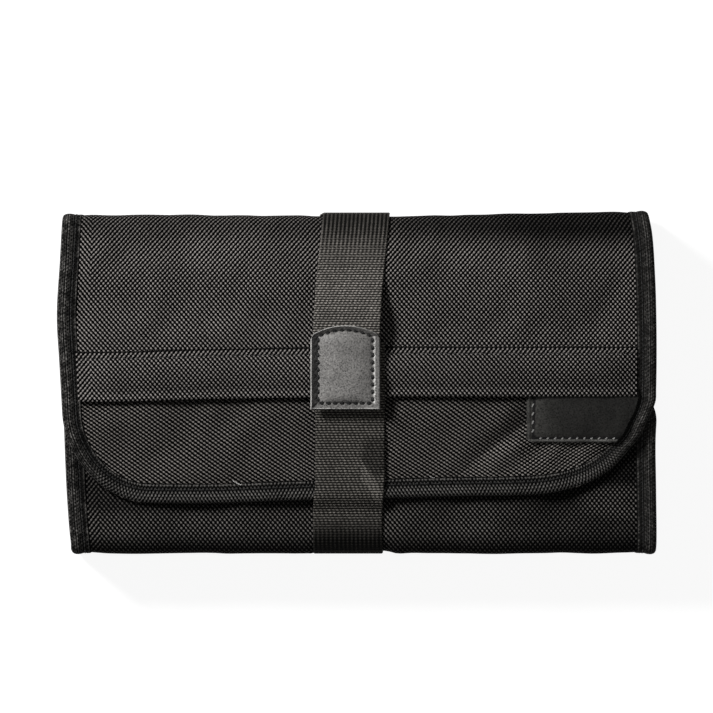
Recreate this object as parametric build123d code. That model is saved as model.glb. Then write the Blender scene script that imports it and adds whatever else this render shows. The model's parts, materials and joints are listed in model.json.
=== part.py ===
from build123d import *
import os

# A roll-up toiletry bag, closed and lying on its back. Millimetres, +Z up.
# X runs across the bag, Y from its bottom edge to its top edge, Z through its depth.
# In a panel, u is the distance outward from the panel's inner face.

# Sizes of the whole bag
bag_width = 330.0          # across, over the side bindings
bag_height = 188.0         # over the outer faces of the top and bottom spines
compartment_depth = 38.0   # between the back and the front section
flap_length = 155.0        # top fold to the flap's free edge
front_length = 87.0        # bottom fold to the front section's free edge
flap_corner_r = 48.0
front_corner_r = 20.0
section_gap = 0.3          # clearance between soft sections that lie on each other

# Fabric stack of a panel and its edge binding
shell_t = 0.8
padding_t = 2.6
lining_t = 0.6
tape_t = 0.5
tape_w = 11.0
pinch_run = 6.0            # width over which the padding thins out beside the binding
mesh_t = 0.5

# Webbing strap round the middle
strap_w = 38.0
strap_t = 1.2
strap_x = -5.0             # the strap sits a little left of the middle
strap_gap = 0.1
channel_side = 0.5         # room on each side of the strap in the back's channel

# Zip chain, slider and pull
zip_side = 30.0            # each chain ends this far inside the side edges
zip_tape_half = 9.0
zip_tape_t = 0.5
zip_gap = 1.0              # between the two tooth rows, where the slider's post runs
tooth_row_w = 2.2
tooth_cord_w = 0.8
tooth_h = 1.0
tooth_pitch = 6.0
tooth_len = 2.9
slider_len = 9.0
slider_half_w = 3.7
slider_plate_t = 0.7
slider_clear = 0.1
slider_flange_w = 0.8
post_w = 0.7
bail_span = 2.2
bail_t = 0.5
bail_w = 1.2
pull_t = 0.8
pull_len = 24.0
pull_half_w = 3.0
pull_arm_w = 0.8
pull_neck = 3.0
pull_clear = 0.05
zip_rest_gap = 5.0         # a slider rests this far from the left end of its chain

# Zip pocket on the flap, under its storm placket
placket_seam_s = 71.0      # from the top fold to the placket's seam
placket_width = 28.0
placket_t = 1.2
placket_rise = 1.3         # of the hem above the flap, room for the label below it
placket_clear = 0.15       # between the zip's bail and the placket
pocket_gap = 1.0
pocket_back_t = 0.4

# Bare leather label in the flap's right half
label_side = 69.0          # its left edge stands this far inside the right side edge
label_w = 62.0
label_drop = 24.3          # below the hem
label_tuck = 4.0
label_t = 1.2
label_corner_r = 2.0
label_gap = 0.1            # between the label and the flap's binding

# Leather tab, webbing ends and hook-and-loop closure
tab_w = 39.2
tab_len = 47.2
tab_arch = 5.6
tab_t = 1.4
tab_over_seam = 13.1       # the tab's top stands this far above the placket's seam
tab_overhang = 2.0         # beyond the webbing's end
ramp_over_tab = 2.0        # the upper webbing levels out this far above the tab
closure_t = 0.7            # one half of the hook-and-loop closure
closure_len = 22.0
closure_side = 2.0         # webbing left bare beside the closure
lower_end_over_closure = 2.0

# Pouches inside
pouch_side = 15.0          # the pouches stop this far inside the side edges
pouch_wall = 0.8
pouch_corner_r = 12.0
pouch_rim = 6.0            # the upper pouch starts this far below the top fold
upper_pouch_len = 82.0
front_pouch_rim = 4.0      # the front pouch starts this far above the bottom fold
front_pouch_len = 81.0
zip_headroom = 3.0         # over the upper pouch, for its zip
front_pouch_clear = 4.1    # between the front pouch and the back's lining
pouch_seam = 0.1           # a pouch is sewn this far off the lining
upper_pouch_zip_s = 28.0   # from the top fold
front_pouch_zip_s = 60.0   # from the bottom fold
mesh_pocket_side = 25.0
mesh_pocket_s = 12.0
mesh_pocket_len = 64.0
mesh_corner_r = 8.0

# Places that follow from the sizes above
panel_t = shell_t + padding_t + lining_t
x_edge = bag_width / 2
x_shell = x_edge - tape_t
x_border = x_edge - tape_w
x_flat = x_border - pinch_run
y_fold = bag_height / 2 - panel_t
zip_half = x_edge - zip_side
pouch_half_w = x_edge - pouch_side
mesh_pocket_half_w = x_edge - mesh_pocket_side
label_left = x_edge - label_side
back_in = tape_t + panel_t
front_in = back_in + compartment_depth
front_out = front_in + panel_t
flap_in = front_out + tape_t + section_gap + mesh_t
flap_out = flap_in + panel_t
flap_end_y = y_fold - flap_length
front_end_y = front_length - y_fold

shell_in_u = panel_t - shell_t
border_u = shell_in_u - lining_t
channel_drop = strap_t + strap_gap - tape_t
zone = (strap_x - strap_w / 2 - channel_side, strap_x + strap_w / 2 + channel_side)
strap_u = panel_t + strap_gap

seam_y = y_fold - placket_seam_s
hem_y = seam_y - placket_width
outer_zip_y = (seam_y + hem_y) / 2

tooth_row_far = zip_gap / 2 + tooth_row_w
plate_low = tooth_h / 2 + slider_clear
plate_top = plate_low + slider_plate_t
bar_z = plate_top + pull_clear + pull_t / 2
bail_in = bar_z + pull_t / 2 + pull_clear
bail_top = bail_in + bail_t
outer_zip_z = flap_out - zip_tape_t / 2


def rounded(face, radius, side=None):
    """Rounds all corners of a plan, or those at its low (0) or high (-1) Y end."""
    corners = face.vertices() if side is None else face.vertices().group_by(Axis.Y)[side]
    return fillet(corners, radius)


def slab(face, z_low, z_high):
    """A plan outline given a thickness from one level to another."""
    return extrude(Pos(0, 0, z_low) * face, z_high - z_low)


def rect(x0, x1, y0, y1):
    return Pos((x0 + x1) / 2, (y0 + y1) / 2) * Rectangle(x1 - x0, y1 - y0)


def polygon(points):
    return make_face(Polyline(*points, close=True))


def strip(points, plane, length):
    """Runs an (x, u) outline along a flat stretch of the body."""
    return extrude(plane * polygon(points), length, dir=plane.z_dir)


def back_strip(points):
    plane = Plane(origin=(0, -y_fold, back_in), x_dir=(1, 0, 0), z_dir=(0, 1, 0))
    return strip(points, plane, 2 * y_fold)


def spine_strip(points, z_start, z_end):
    """A strip of the top spine, standing up from the back's top fold."""
    plane = Plane(origin=(0, y_fold, z_start), x_dir=(1, 0, 0), z_dir=(0, 0, 1))
    return strip(points, plane, z_end - z_start)


def low_fold(points, rise=0.0):
    """Turns an outline a quarter round the fold from the back into the top spine."""
    centre = (0, y_fold, back_in + rise)
    plane = Plane(origin=centre, x_dir=(1, 0, 0), z_dir=(0, 1, 0))
    return revolve(plane * polygon(points), Axis(centre, (1, 0, 0)), 90)


def high_fold(points, z_hinge):
    """Turns an outline a quarter round the fold from the spine into the panel above."""
    centre = (0, y_fold, z_hinge)
    plane = Plane(origin=centre, x_dir=(1, 0, 0), z_dir=(0, 0, 1))
    return revolve(plane * polygon(points), Axis(centre, (1, 0, 0)), 90)


def to_bottom(shape):
    """The bottom of the bag repeats the top, mirrored."""
    return mirror(shape, about=Plane.XZ)


def band(x0, x1, u0, u1):
    return [(x0, u0), (x1, u0), (x1, u1), (x0, u1)]


# Outlines across a panel, in x and u

def back_shell_section():
    """Outer fabric with a shallow channel where the strap lies."""
    z0, z1 = zone
    channel_u = panel_t - channel_drop
    outer = [(-x_shell, panel_t), (z0, panel_t), (z0, channel_u),
             (z1, channel_u), (z1, panel_t), (x_shell, panel_t)]
    inner = [(x_shell, shell_in_u), (z1 + shell_t, shell_in_u), (z1 + shell_t, channel_u - shell_t),
             (z0 - shell_t, channel_u - shell_t), (z0 - shell_t, shell_in_u), (-x_shell, shell_in_u)]
    return outer + inner


def padding_section(channel):
    """Foam, full in the middle and pinched to nothing beside the bindings."""
    low = [(-x_border, shell_in_u), (-x_flat, lining_t), (x_flat, lining_t), (x_border, shell_in_u)]
    if not channel:
        return low
    z0, z1 = zone[0] - shell_t, zone[1] + shell_t
    groove_u = shell_in_u - channel_drop
    return low + [(z1, shell_in_u), (z1, groove_u), (z0, groove_u), (z0, shell_in_u)]


def lining_section():
    """Inner fabric: flat on the foam, then up the pinch and along the edge."""
    outer = [(-x_shell, shell_in_u), (-x_border, shell_in_u), (-x_flat, lining_t),
             (x_flat, lining_t), (x_border, shell_in_u), (x_shell, shell_in_u)]
    return outer + [(x, u - lining_t) for x, u in reversed(outer)]


def binding_section(side):
    """Tape folded round one side edge, as a U lying on its side."""
    low, high = border_u - tape_t, panel_t + tape_t
    tape = [(x_edge, low), (x_edge, high), (x_border, high), (x_border, panel_t),
            (x_shell, panel_t), (x_shell, border_u), (x_border, border_u), (x_border, low)]
    return [(side * x, u) for x, u in tape]


def strap_section():
    return band(strap_x - strap_w / 2, strap_x + strap_w / 2, strap_u, strap_u + strap_t)


def both_sides(make):
    return [make(binding_section(side)) for side in (-1, 1)]


# The back and the two spines

def back_section():
    strap_points = [(x, u - channel_drop) for x, u in strap_section()]
    return {
        "back_shell": back_strip(back_shell_section()),
        "back_padding": back_strip(padding_section(channel=True)),
        "back_lining": back_strip(lining_section()),
        "back_binding": Part() + both_sides(back_strip),
        "strap_back": back_strip(strap_points),
    }


def folds_at_back():
    """Shell, strap and binding where the back turns up into both spines."""
    z0, z1 = zone[0] - shell_t, zone[1] + shell_t
    sides = [band(-x_shell, z0, shell_in_u, panel_t), band(z1, x_shell, shell_in_u, panel_t)]
    shell = Part() + [low_fold(side) for side in sides]
    shell += low_fold(band(z0, z1, shell_in_u, panel_t), rise=channel_drop)
    strap = low_fold(strap_section(), rise=channel_drop)
    binding = Part() + both_sides(low_fold)
    nodes = {"shell_folds_back": shell, "strap_folds_back": strap, "binding_folds_back": binding}
    return {name: Part() + [part, to_bottom(part)] for name, part in nodes.items()}


def spine(name, z_top):
    """One spine with the folds at its upper edge, built at the top of the bag."""
    z0, z1 = zone[0] - shell_t, zone[1] + shell_t
    notch_z = back_in + channel_drop
    notch = spine_strip(band(z0, z1, shell_in_u - channel_drop, panel_t), back_in, notch_z)
    shell = spine_strip(band(-x_shell, x_shell, shell_in_u, panel_t), back_in, z_top) - notch
    padding = spine_strip(padding_section(channel=False), back_in, z_top) - notch
    lining = spine_strip(lining_section(), back_in, z_top)
    binding = Part() + both_sides(lambda points: spine_strip(points, back_in, z_top))
    return {
        f"{name}_spine_shell": shell,
        f"{name}_spine_padding": padding,
        f"{name}_spine_lining": lining,
        f"{name}_spine_binding": binding,
        f"strap_{name}": spine_strip(strap_section(), notch_z, z_top),
        f"shell_fold_{name}": high_fold(band(-x_shell, x_shell, shell_in_u, panel_t), z_top),
        f"strap_fold_{name}": high_fold(strap_section(), z_top),
        f"binding_fold_{name}": Part() + both_sides(lambda points: high_fold(points, z_top)),
    }


# The flap and the front section: panels with round free corners

def panel_face(y_root, y_free, corner_r, inset=0.0):
    """Plan of a panel from its fold to its free edge, drawn in by an inset."""
    down = y_free < y_root
    y_end = y_free + inset if down else y_free - inset
    face = rect(inset - x_edge, x_edge - inset, min(y_root, y_end), max(y_root, y_end))
    return rounded(face, max(corner_r - inset, 1.0), 0 if down else -1)


def flap_face(inset=0.0):
    return panel_face(y_fold, flap_end_y, flap_corner_r, inset)


def front_face(inset=0.0):
    return panel_face(-y_fold, front_end_y, front_corner_r, inset)


def pinch_inset(u):
    """How far in from the edge the pinched foam starts at a depth u."""
    return tape_w + pinch_run * (shell_in_u - u) / padding_t


def foam(face_at, z_in, u_top):
    """Foam under a panel's outer layers, thinning out towards the free edges."""
    low = Pos(0, 0, z_in + lining_t) * face_at(pinch_inset(lining_t))
    high = Pos(0, 0, z_in + u_top) * face_at(pinch_inset(u_top))
    return loft([low, high], ruled=True)


def panel_lining(face_at, z_in):
    """Lining over the foam and out along the edge."""
    inside = foam(face_at, z_in, shell_in_u)
    edge = slab(face_at(tape_t), z_in + border_u, z_in + shell_in_u)
    return edge + Pos(0, 0, -lining_t) * inside - inside


def panel_binding(face_at, z_in):
    """Tape folded round the three free edges of a panel."""
    low, high = z_in + border_u - tape_t, z_in + panel_t + tape_t
    tape = slab(face_at(), low, high) - slab(face_at(tape_w), low, high)
    return tape - slab(face_at(tape_t), z_in + border_u, z_in + panel_t)


def front_section():
    return {
        "front_shell": slab(front_face(tape_t), front_in + shell_in_u, front_out),
        "front_padding": foam(front_face, front_in, shell_in_u),
        "front_lining": panel_lining(front_face, front_in),
        "front_binding": panel_binding(front_face, front_in),
    }


def flap_section():
    """The flap, whose shell opens in a zip slot into a flat pocket."""
    skin = slab(flap_face(tape_t), flap_in + shell_in_u, flap_out)
    slot = rect(-zip_half, zip_half, outer_zip_y - zip_tape_half, outer_zip_y + zip_tape_half)
    skin -= slab(slot, flap_in + shell_in_u, flap_out)
    upper = slab(rect(-x_edge, x_edge, outer_zip_y, y_fold), flap_in, flap_out)
    pocket_low_u = shell_in_u - pocket_gap - pocket_back_t
    pocket_face = flap_face(pinch_inset(lining_t))
    return {
        "flap_shell_upper": skin & upper,
        "flap_pocket_front": skin - upper,
        "flap_pocket_back": slab(pocket_face, flap_in + pocket_low_u, flap_in + pocket_low_u + pocket_back_t),
        "flap_padding": foam(flap_face, flap_in, pocket_low_u),
        "flap_lining": panel_lining(flap_face, flap_in),
        "flap_binding": panel_binding(flap_face, flap_in),
        "flap_mesh_pocket": mesh_pocket(),
        "placket": placket(),
        "label_patch": label_patch(),
    }


def mesh_pocket():
    y_high = y_fold - mesh_pocket_s
    face = rect(-mesh_pocket_half_w, mesh_pocket_half_w, y_high - mesh_pocket_len, y_high)
    return slab(rounded(face, mesh_corner_r, 0), flap_in - mesh_t, flap_in)


def placket_level(lift=0.0):
    """Arch of the placket's underside from its seam to its hem, in Y and Z."""
    peak = outer_zip_z + bail_top + placket_clear + placket_t / 2
    return [(seam_y, flap_out + lift), (outer_zip_y, peak + lift), (hem_y, flap_out + placket_rise + lift)]


def placket():
    """Storm placket: sewn along its seam, arched over the zip, open at its hem."""
    under, over = placket_level(), placket_level(placket_t)
    outline = [ThreePointArc(*under), Line(under[-1], over[-1]), ThreePointArc(*over[::-1]),
               Line(over[0], under[0])]
    side = Plane(origin=(-x_border, 0, 0), x_dir=(0, 1, 0), z_dir=(1, 0, 0))
    return extrude(side * make_face(outline), 2 * x_border, dir=(1, 0, 0))


def label_patch():
    """Bare leather patch, tucked under the hem and cut off along the binding."""
    low, high = hem_y - label_drop, hem_y + label_tuck
    face = rect(label_left, label_left + label_w, low, high)
    corner = face.vertices().group_by(Axis.Y)[0].sort_by(Axis.X)[0]
    face = fillet(corner, label_corner_r)
    inside_binding = slab(flap_face(tape_w + label_gap), flap_out, flap_out + label_t)
    return slab(face, flap_out, flap_out + label_t) & inside_binding


# Pouches

def pouch(y_low, y_high, z_low, z_high, zip_y, zip_on_top):
    """A box pouch with round corners and a long slot for its zip."""
    plan = rounded(rect(-pouch_half_w, pouch_half_w, y_low, y_high), pouch_corner_r)
    hollow = rounded(rect(pouch_wall - pouch_half_w, pouch_half_w - pouch_wall,
                          y_low + pouch_wall, y_high - pouch_wall), pouch_corner_r - pouch_wall)
    body = slab(plan, z_low, z_high) - slab(hollow, z_low + pouch_wall, z_high - pouch_wall)
    slot = rect(-zip_half, zip_half, zip_y - zip_tape_half, zip_y + zip_tape_half)
    z_slot = z_high - pouch_wall if zip_on_top else z_low
    return body - slab(slot, z_slot, z_slot + pouch_wall)


upper_pouch_top = flap_in - mesh_t - zip_headroom
upper_zip_y = y_fold - upper_pouch_zip_s
front_pouch_low = back_in + front_pouch_clear
front_zip_y = front_pouch_zip_s - y_fold


def pouches():
    y_top = y_fold - pouch_rim
    y_bottom = front_pouch_rim - y_fold
    return {
        "upper_pouch": pouch(y_top - upper_pouch_len, y_top, back_in + pouch_seam,
                             upper_pouch_top, upper_zip_y, zip_on_top=True),
        "front_pouch": pouch(y_bottom, y_bottom + front_pouch_len, front_pouch_low,
                             front_in - pouch_seam, front_zip_y, zip_on_top=False),
    }


# Zips, drawn about the middle of the tape's thickness with their outer face up

def tooth_row(side):
    """A cord along the tape's edge with one tooth on every pitch."""
    tip, root = zip_gap / 2, tooth_row_far - tooth_cord_w
    count = int((2 * zip_half - tooth_pitch) / tooth_pitch)
    start = -count * tooth_pitch / 2 + (tooth_pitch / 2 if side > 0 else 0)
    points = [(-zip_half, tooth_row_far), (-zip_half, root)]
    for tooth in range(count):
        x = start + tooth * tooth_pitch
        points += [(x, root), (x, tip), (x + tooth_len, tip), (x + tooth_len, root)]
    points += [(zip_half, root), (zip_half, tooth_row_far)]
    return slab(polygon([(x, side * y) for x, y in points]), -tooth_h / 2, tooth_h / 2)


def zip_tape():
    half = rect(-zip_half, zip_half, tooth_row_far, zip_tape_half)
    upper = slab(half, -zip_tape_t / 2, zip_tape_t / 2)
    return Part() + [upper, to_bottom(upper)]


def slider_plan(half_w):
    """Shield shape of a slider: broad shoulders and a narrower tail."""
    tail, nose = -slider_len / 2, slider_len / 2
    shoulder = nose - slider_len / 3
    points = [(tail, -half_w * 0.8), (shoulder, -half_w), (nose, -half_w * 0.5),
              (nose, half_w * 0.5), (shoulder, half_w), (tail, half_w * 0.8)]
    return polygon(points)


def zip_slider():
    """Two plates joined by a post, flanges round the chain and a bail on top."""
    plan = slider_plan(slider_half_w)
    rim = plan - slider_plan(slider_half_w - slider_flange_w)
    lip = zip_tape_t / 2 + slider_clear
    body = slab(plan, plate_low, plate_top) + slab(rim, lip, plate_low)
    body -= slab(rect(-slider_len, slider_len, -tooth_row_far - slider_clear,
                      tooth_row_far + slider_clear), 0, plate_low)
    body += mirror(body, about=Plane.XY)
    post_x = slider_len / 4
    body += slab(rect(post_x, post_x + 2 * post_w, -post_w / 2, post_w / 2), -plate_low, plate_low)
    bail = slab(rect(-bail_span / 2 - bail_t, bail_span / 2 + bail_t, -bail_w / 2, bail_w / 2),
                plate_top, bail_top)
    return body + bail - slab(rect(-bail_span / 2, bail_span / 2, -bail_w, bail_w), plate_top, bail_in)


def zip_pull():
    """Flat pull: a bar under the bail, two arms and a blade with a round end."""
    arm_in = bail_w / 2 + pull_arm_w / 4
    arm_out = arm_in + pull_arm_w
    low, high = bar_z - pull_t / 2, bar_z + pull_t / 2
    face = rect(pull_neck, pull_len, -pull_half_w, pull_half_w)
    face = fillet(face.vertices().group_by(Axis.X)[-1], pull_half_w * 0.6)
    blade = slab(face, low, high)
    slot = slab(rect(pull_len - 2 * pull_half_w, pull_len - pull_half_w / 2,
                     -pull_half_w / 3, pull_half_w / 3), low, high)
    arms = slab(rect(0, pull_neck + pull_t, arm_in, arm_out), low, high)
    bar = Pos(0, 0, bar_z) * Rot(90, 0, 0) * Cylinder(pull_t / 2, 2 * arm_out)
    return blade - slot + [arms, to_bottom(arms), bar]


def zip_nodes(name, place):
    rest = Pos(zip_rest_gap - zip_half, 0, 0)
    return {
        f"{name}_zip_tape": place * zip_tape(),
        f"{name}_zip_teeth": place * (Part() + [tooth_row(1), tooth_row(-1)]),
        f"{name}_zip_slider": place * rest * zip_slider(),
        f"{name}_zip_pull": place * rest * zip_pull(),
    }


# Strap ends with the closure between them

tab_top_y = seam_y + tab_over_seam
tab_low_y = tab_top_y - tab_len
closure_high_y = seam_y + closure_side
placket_top = outer_zip_z + bail_top + placket_clear + 1.5 * placket_t
lower_strap_z = placket_top + strap_gap
loop_z = lower_strap_z + strap_t
hook_z = loop_z + closure_t + strap_gap
upper_strap_z = hook_z + closure_t


def ribbon(under, thickness):
    """Webbing whose underside follows a line in Y and Z."""
    over = [(y, z + thickness) for y, z in reversed(under)]
    side = Plane(origin=(strap_x - strap_w / 2, 0, 0), x_dir=(0, 1, 0), z_dir=(1, 0, 0))
    return extrude(side * polygon(under + over), strap_w, dir=(1, 0, 0))


def closure(z_low):
    half = strap_w / 2 - closure_side
    face = rect(strap_x - half, strap_x + half, closure_high_y - closure_len, closure_high_y)
    return slab(face, z_low, z_low + closure_t)


def leather_tab():
    """Square below, with a shallow arch above."""
    x0, x1 = strap_x - tab_w / 2, strap_x + tab_w / 2
    shoulder = tab_top_y - tab_arch
    outline = [Polyline((x0, shoulder), (x0, tab_low_y), (x1, tab_low_y), (x1, shoulder)),
               ThreePointArc((x1, shoulder), (strap_x, tab_top_y), (x0, shoulder))]
    return slab(make_face(outline), upper_strap_z + strap_t, upper_strap_z + strap_t + tab_t)


def strap_ends():
    upper = [(y_fold, flap_in + strap_u), (tab_top_y + ramp_over_tab, upper_strap_z),
             (tab_low_y + tab_overhang, upper_strap_z)]
    on_front = front_in + strap_u
    on_flap = flap_out + tape_t + strap_gap
    step = on_flap - on_front
    over_hem = flap_out + placket_rise + placket_t + section_gap
    hem_foot_y = hem_y - 1.5 * (over_hem - on_flap) - section_gap
    lower = [(-y_fold, on_front), (flap_end_y - 2 * step, on_front), (flap_end_y - section_gap, on_flap),
             (hem_foot_y - placket_width / 4, on_flap), (hem_y - section_gap, over_hem),
             (closure_high_y - closure_len, lower_strap_z),
             (closure_high_y + lower_end_over_closure, lower_strap_z)]
    return {
        "strap_upper_webbing": ribbon(upper, strap_t),
        "leather_tab": leather_tab(),
        "hook_patch": closure(hook_z),
        "strap_lower_webbing": ribbon(lower, strap_t),
        "loop_patch": closure(loop_z),
    }


def all_nodes():
    nodes = back_section() | folds_at_back()
    nodes |= spine("top", flap_in)
    nodes |= {name: to_bottom(part) for name, part in spine("bottom", front_in).items()}
    nodes |= front_section() | flap_section() | pouches()
    nodes |= zip_nodes("outer", Pos(0, outer_zip_y, outer_zip_z))
    nodes |= zip_nodes("upper_pouch", Pos(0, upper_zip_y, upper_pouch_top - zip_tape_t / 2))
    nodes |= zip_nodes("front_pouch", Pos(0, front_zip_y, front_pouch_low + zip_tape_t / 2) * Rot(180, 0, 0))
    return nodes | strap_ends()


os.makedirs("parts", exist_ok=True)
for name, part in all_nodes().items():
    export_step(part, f"parts/{name}.step")
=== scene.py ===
import bmesh
import bpy
import json
import math
import numpy as np
from mathutils import Vector

# A roll-up toiletry bag, closed and lying on its back. Metres, +Z up, as the frame has it.
# Fabric is laid out flat in x (across), s (along the outer skin, from the middle of the back)
# and h (out of the skin), and then put on a chain that folds it round the bag.
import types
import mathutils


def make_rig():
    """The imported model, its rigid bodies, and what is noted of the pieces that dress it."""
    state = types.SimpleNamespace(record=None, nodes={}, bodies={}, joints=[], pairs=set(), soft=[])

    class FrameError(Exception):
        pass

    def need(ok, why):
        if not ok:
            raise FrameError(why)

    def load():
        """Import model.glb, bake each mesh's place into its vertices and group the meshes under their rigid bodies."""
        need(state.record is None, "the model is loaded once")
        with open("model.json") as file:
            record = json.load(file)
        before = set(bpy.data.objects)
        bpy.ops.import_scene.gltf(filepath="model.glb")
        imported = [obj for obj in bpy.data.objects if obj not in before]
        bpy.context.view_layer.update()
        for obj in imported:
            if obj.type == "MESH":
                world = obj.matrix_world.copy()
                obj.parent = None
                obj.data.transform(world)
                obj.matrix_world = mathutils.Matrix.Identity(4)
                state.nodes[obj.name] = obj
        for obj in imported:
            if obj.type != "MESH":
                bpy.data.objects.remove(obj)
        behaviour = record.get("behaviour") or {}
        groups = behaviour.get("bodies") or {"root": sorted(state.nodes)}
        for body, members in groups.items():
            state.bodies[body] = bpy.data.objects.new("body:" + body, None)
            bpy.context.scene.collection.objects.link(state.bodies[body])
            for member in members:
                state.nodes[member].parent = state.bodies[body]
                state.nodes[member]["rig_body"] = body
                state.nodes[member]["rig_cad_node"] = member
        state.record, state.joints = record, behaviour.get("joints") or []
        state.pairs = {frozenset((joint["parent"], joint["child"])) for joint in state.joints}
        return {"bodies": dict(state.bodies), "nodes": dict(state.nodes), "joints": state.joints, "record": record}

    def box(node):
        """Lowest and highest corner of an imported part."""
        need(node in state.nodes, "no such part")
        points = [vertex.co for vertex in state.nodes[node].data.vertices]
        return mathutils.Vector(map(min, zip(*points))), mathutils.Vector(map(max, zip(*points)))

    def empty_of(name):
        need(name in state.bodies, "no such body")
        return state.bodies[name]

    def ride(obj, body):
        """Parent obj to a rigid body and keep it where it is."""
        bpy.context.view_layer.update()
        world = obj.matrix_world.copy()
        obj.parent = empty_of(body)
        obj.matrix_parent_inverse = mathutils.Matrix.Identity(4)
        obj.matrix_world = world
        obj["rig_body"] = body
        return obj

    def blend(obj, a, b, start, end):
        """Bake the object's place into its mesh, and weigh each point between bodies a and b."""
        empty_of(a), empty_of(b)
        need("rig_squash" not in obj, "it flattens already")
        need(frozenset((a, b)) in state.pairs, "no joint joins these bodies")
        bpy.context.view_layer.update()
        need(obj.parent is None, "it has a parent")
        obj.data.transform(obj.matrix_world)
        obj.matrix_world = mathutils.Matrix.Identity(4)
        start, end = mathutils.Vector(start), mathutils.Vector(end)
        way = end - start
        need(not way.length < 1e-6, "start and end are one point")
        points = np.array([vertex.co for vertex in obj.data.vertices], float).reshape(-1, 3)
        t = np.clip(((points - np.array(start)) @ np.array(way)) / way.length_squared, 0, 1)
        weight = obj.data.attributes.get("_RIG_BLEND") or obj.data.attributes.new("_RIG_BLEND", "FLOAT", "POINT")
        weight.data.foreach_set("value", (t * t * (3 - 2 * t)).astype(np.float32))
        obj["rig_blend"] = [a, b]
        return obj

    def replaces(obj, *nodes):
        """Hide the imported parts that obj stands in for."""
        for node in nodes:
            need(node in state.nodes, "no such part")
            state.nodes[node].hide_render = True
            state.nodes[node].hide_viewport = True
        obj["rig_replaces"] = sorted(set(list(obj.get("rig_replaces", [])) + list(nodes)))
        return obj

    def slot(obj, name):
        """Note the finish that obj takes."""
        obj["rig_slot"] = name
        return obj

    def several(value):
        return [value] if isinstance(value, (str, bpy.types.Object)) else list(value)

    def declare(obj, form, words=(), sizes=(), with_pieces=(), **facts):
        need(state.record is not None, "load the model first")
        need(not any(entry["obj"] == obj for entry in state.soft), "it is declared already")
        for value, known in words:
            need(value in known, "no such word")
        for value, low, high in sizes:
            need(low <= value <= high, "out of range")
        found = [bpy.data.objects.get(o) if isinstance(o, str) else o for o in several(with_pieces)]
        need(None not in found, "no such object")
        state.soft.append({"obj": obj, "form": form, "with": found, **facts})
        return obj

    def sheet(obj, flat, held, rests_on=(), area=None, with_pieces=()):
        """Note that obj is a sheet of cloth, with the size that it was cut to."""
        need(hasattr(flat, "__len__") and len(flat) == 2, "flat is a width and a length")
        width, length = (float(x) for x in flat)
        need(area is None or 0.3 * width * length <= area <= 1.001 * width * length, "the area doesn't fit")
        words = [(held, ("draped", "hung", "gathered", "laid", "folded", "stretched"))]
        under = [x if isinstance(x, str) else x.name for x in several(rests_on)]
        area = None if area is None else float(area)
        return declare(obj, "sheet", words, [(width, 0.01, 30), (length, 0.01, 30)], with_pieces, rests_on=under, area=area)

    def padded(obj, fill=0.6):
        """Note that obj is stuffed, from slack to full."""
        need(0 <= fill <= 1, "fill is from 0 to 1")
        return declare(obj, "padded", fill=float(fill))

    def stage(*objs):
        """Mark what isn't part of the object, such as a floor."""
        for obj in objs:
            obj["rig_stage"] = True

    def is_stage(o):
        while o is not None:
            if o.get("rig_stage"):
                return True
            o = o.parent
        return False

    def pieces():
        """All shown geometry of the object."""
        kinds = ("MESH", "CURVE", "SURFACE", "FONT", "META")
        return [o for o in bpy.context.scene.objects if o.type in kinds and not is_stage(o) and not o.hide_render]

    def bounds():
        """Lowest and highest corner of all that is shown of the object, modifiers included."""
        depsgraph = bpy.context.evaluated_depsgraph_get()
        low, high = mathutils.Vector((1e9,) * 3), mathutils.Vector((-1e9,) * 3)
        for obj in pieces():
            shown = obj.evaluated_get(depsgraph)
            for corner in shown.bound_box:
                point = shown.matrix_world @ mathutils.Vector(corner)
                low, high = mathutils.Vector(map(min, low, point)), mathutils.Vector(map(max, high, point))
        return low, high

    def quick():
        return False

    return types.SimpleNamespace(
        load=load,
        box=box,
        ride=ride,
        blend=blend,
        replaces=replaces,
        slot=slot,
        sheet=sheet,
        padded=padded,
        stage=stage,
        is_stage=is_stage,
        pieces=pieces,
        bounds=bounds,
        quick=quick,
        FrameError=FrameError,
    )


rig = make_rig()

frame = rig.load()
cad_box = [list(corner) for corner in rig.bounds()]

MM = 0.001


def low(node):
    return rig.box(node)[0]


def high(node):
    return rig.box(node)[1]


# Places read from the frame
x_edge = high("flap_binding").x
y_spine = high("top_spine_shell").y
z_back = low("back_shell").z
z_flap = high("flap_shell_upper").z
z_front = high("front_shell").z
y_flap_end = low("flap_binding").y
y_front_end = high("front_binding").y
seam_y, hem_y = high("placket").y, low("placket").y
zip_y = (low("outer_zip_teeth").y + high("outer_zip_teeth").y) / 2
strap_x = (low("strap_top").x + high("strap_top").x) / 2
strap_w = high("strap_top").x - low("strap_top").x
strap_t = high("strap_top").y - low("strap_top").y

# Sizes of the soft forms
fold_r = 9.0 * MM           # outer radius of a fold
fold_reach = fold_r + 2 * MM
panel_t = 4.0 * MM          # padded panel
edge_t = 1.5 * MM           # the same, pinched under the binding
tape_w = 11.0 * MM
tape_leg = 9 * MM           # how far in its sewn leg presses on the fabric
tape_sewn = 7.6 * MM        # how far in its stitches run
flap_corner_r = 48.0 * MM
front_corner_r = 20.0 * MM
grid = 3.0 * MM             # spacing of the fabric's mesh
station = 1.8 * MM          # spacing of the stations along a binding
stitch_pitch = 3.2 * MM
thread_r = 0.32 * MM
ridge_pitch = 2.31 * MM     # of the webbing's lengthwise ridges
tab_pitch = 3.75 * MM       # of the tab's stitches


def smooth(value, start, end):
    t = np.clip((value - start) / (end - start), 0, 1)
    return t * t * (3 - 2 * t)


def bump(value, centre, width):
    return np.exp(-((value - centre) / width) ** 2)


def steps(start, end, spacing):
    return np.linspace(start, end, max(2, int(round(abs(end - start) / spacing)) + 1))


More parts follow.
